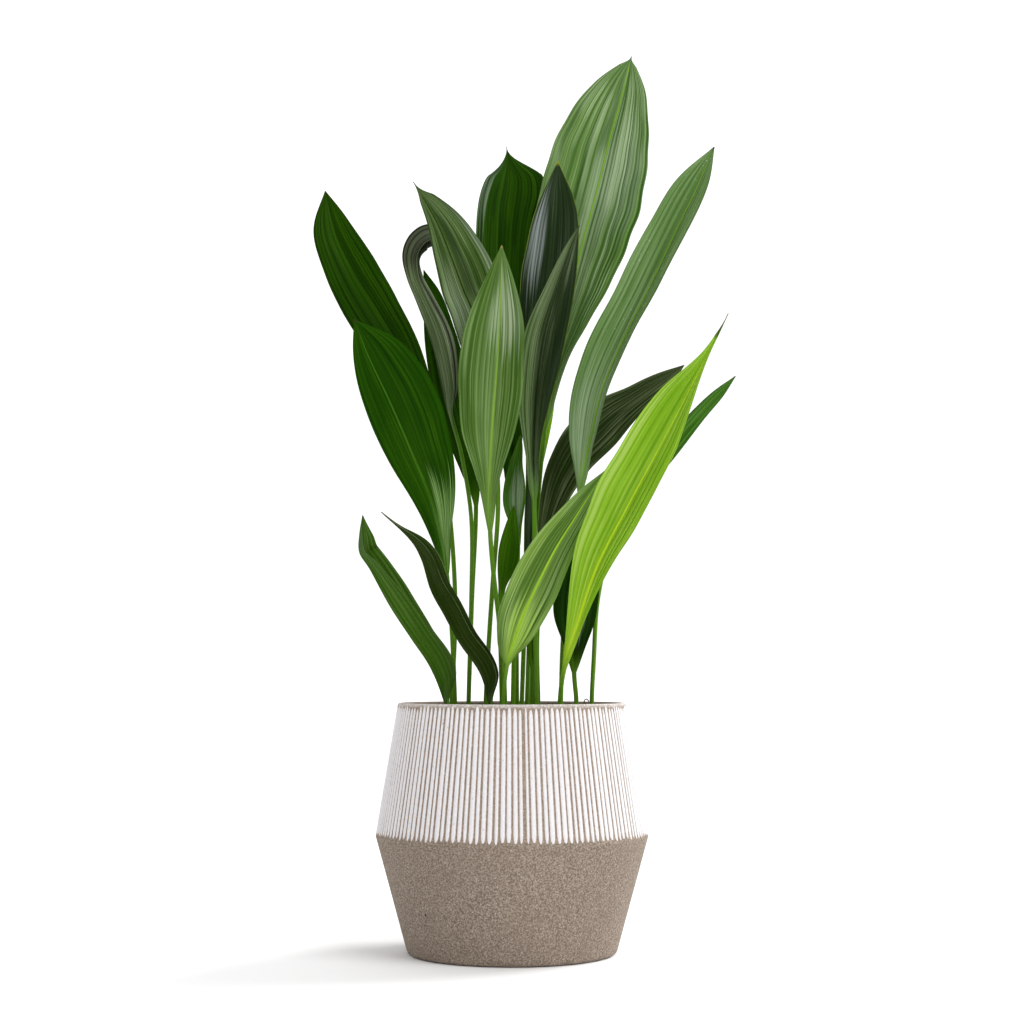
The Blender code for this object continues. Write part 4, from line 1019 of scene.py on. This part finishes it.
def tube(points, radii, sides):
    """The points of a tube's rings, one ring round each given point, with its own radii."""
    rings = []
    for k, centre in enumerate(points):
        along = unit(points[min(k + 1, len(points) - 1)] - points[max(k - 1, 0)])
        side = unit(np.cross(along, (0.0, 0.0, 1.0)) if abs(along[2]) < 0.9
                    else np.cross(along, (0.0, 1.0, 0.0)))
        upward = np.cross(side, along)
        turn = np.linspace(0.0, 2 * np.pi, sides, endpoint=False)
        spokes = np.outer(np.cos(turn), side) + np.outer(np.sin(turn), upward)
        rings.append(centre + spokes * np.reshape(radii[k], (-1, 1)))
    return np.vstack(rings)


def make_rhizome():
    """The creeping rhizome: scarred runs, a ragged papery collar round each stalk's foot."""
    rng = np.random.RandomState(33)
    points, faces, groups = [], [], []
    count = 0

    def add_tube(way, radii, sides, group):
        nonlocal count
        made = tube(way, radii, sides)
        points.append(made)
        new = capped_rings(len(way), sides, count)
        faces.extend(new)
        groups.extend([group] * len(new))
        count += len(made)

    for run in RHIZOME_RUNS:
        way = smooth_run([(x, y, RHIZOME_HEIGHT) for x, y in run], samples=14)
        length = lengths_along(way)
        scars = 1 - 0.07 * np.exp(-((length % 0.0075 - 0.003) / 0.0009) ** 2)
        ends = np.sqrt(np.clip(np.minimum(length, length[-1] - length) / 0.006, 0.02, 1.0))
        turn = np.linspace(0.0, 2 * np.pi, RHIZOME_SIDES, endpoint=False)
        radii = [RHIZOME_RADIUS * scar * end * (0.96 + 0.04 * np.sin(3 * turn + 40 * at))
                 for scar, end, at in zip(scars, ends, length)]
        add_tube(way, radii, RHIZOME_SIDES, 0)
    for leaf in LEAVES.values():
        x, y, _ = leaf["path"][0]
        tall = rng.uniform(0.004, 0.009)
        height = SEAT_HEIGHT - RHIZOME_HEIGHT + tall
        levels = np.array([0.0, 0.35, 0.7, 1.0]) * height + RHIZOME_HEIGHT
        way = np.array([(x, y, level) for level in levels])
        turn = np.linspace(0.0, 2 * np.pi, COLLAR_SIDES, endpoint=False)
        ragged = rng.uniform(0.85, 1.1, COLLAR_SIDES)
        radii = [np.full(COLLAR_SIDES, 0.0036), np.full(COLLAR_SIDES, 0.0040),
                 0.0037 * (1 + 0.05 * np.sin(turn * 2)), 0.0030 * ragged]
        add_tube(way, radii, COLLAR_SIDES, 1)
    sheath = smooth_run([(0.0775, 0.0085, 0.231), (0.0745, 0.0085, 0.240),
                         (0.0722, 0.0085, 0.2462), (0.0745, 0.0085, 0.2485),
                         (0.0770, 0.0085, 0.2462)], samples=8)
    add_tube(sheath, [np.full(SHEATH_SIDES, 0.0006)] * len(sheath), SHEATH_SIDES, 1)
    rhizome = add_mesh("creeping_rhizome", np.vstack(points), faces, sharp=60)
    for face, group in zip(rhizome.data.polygons, groups):
        face.material_index = group
    skin = bark_material("rhizome_skin", tone(74, 62, 30), tone(150, 132, 84), 420.0)
    rhizome.data.materials.append(skin)
    dry = bark_material("dry_sheath", tone(70, 52, 34), tone(140, 112, 78), 600.0)
    rhizome.data.materials.append(dry)
    return rhizome


# ---------------------------------------------------------------- the studio

def make_studio():
    scene = bpy.context.scene
    world = bpy.data.worlds.new("studio")
    world.use_nodes = True
    background = world.node_tree.nodes["Background"]
    nodes, links = world.node_tree.nodes, world.node_tree.links
    sky = nodes.new("ShaderNodeTexCoord").outputs["Generated"]
    total = None
    for aim, strength in SKY_GLOW:
        lobe = nodes.new("ShaderNodeVectorMath")
        lobe.operation = "DOT_PRODUCT"
        links.new(sky, lobe.inputs[0])
        lobe.inputs[1].default_value = aim
        soft = nodes.new("ShaderNodeMapRange")
        soft.interpolation_type = "SMOOTHSTEP"
        links.new(lobe.outputs["Value"], soft.inputs["Value"])
        soft.inputs["From Min"].default_value = SKY_SOFTNESS[0]
        soft.inputs["From Max"].default_value = SKY_SOFTNESS[1]
        soft.inputs["To Max"].default_value = strength
        add = nodes.new("ShaderNodeMath")
        add.operation = "ADD"
        links.new(soft.outputs["Result"], add.inputs[0])
        if total is None:
            add.inputs[1].default_value = SKY_BASE
        else:
            links.new(total, add.inputs[1])
        total = add.outputs[0]
    links.new(total, background.inputs["Strength"])
    background.inputs["Color"].default_value = (1.0, 1.0, 1.0, 1.0)
    scene.world = world
    scene.view_settings.view_transform = "Standard"

    floor_mesh = bpy.data.meshes.new("floor")
    corners = [(-1, -1), (1, -1), (1, 1), (-1, 1)]
    floor_mesh.from_pydata([(x * STAGE_REACH, y * STAGE_REACH, -STAGE_DROP) for x, y in corners],
                           [], [(0, 1, 2, 3)])
    floor = bpy.data.objects.new("floor", floor_mesh)
    scene.collection.objects.link(floor)
    graph = Graph("pale_floor")
    point = graph.node("ShaderNodeTexCoord").outputs["Object"]
    faint = graph.noise(point, (3.0,) * 3, 1.0, 2.0, 0.5)
    floor.data.materials.append(graph.finish(
        Base_Color=graph.mix(faint, (0.84, 0.84, 0.84), (0.86, 0.86, 0.86)), Roughness=0.9,
        Specular_IOR_Level=0.0))

    for name, (aim, softness, power) in SUNS.items():
        light = bpy.data.lights.new(name, "SUN")
        light.angle = np.radians(softness)
        light.energy = power
        lamp = bpy.data.objects.new(name, light)
        lamp.rotation_euler = Vector(aim).to_track_quat("Z", "Y").to_euler()
        scene.collection.objects.link(lamp)

    camera = bpy.data.cameras.new("camera")
    camera.lens = CAMERA_LENS
    camera.sensor_width = CAMERA_SENSOR
    viewer = bpy.data.objects.new("camera", camera)
    viewer.location = CAMERA_PLACE
    viewer.rotation_euler = (np.radians(90.0 + CAMERA_TILT), 0.0, 0.0)
    scene.collection.objects.link(viewer)
    scene.camera = viewer


def main():
    make_studio()
    pieces = {"pot": make_planter(), "soil": make_soil(), "rhizome": make_rhizome()}
    for index, (name, leaf) in enumerate(LEAVES.items()):
        blade = make_leaf(name.replace("leaf_", "foliage_"), leaf, index)
        widest = max(leaf["left"] + leaf["right"])
        blade.data.materials.append(leaf_material(name.replace("leaf_", "green_"), LOOKS[name],
                                                  widest, 10.0 * index))
        pieces[name] = blade
    for node, piece in pieces.items():
        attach(piece, "root")
        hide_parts(node)
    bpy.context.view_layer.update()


main()
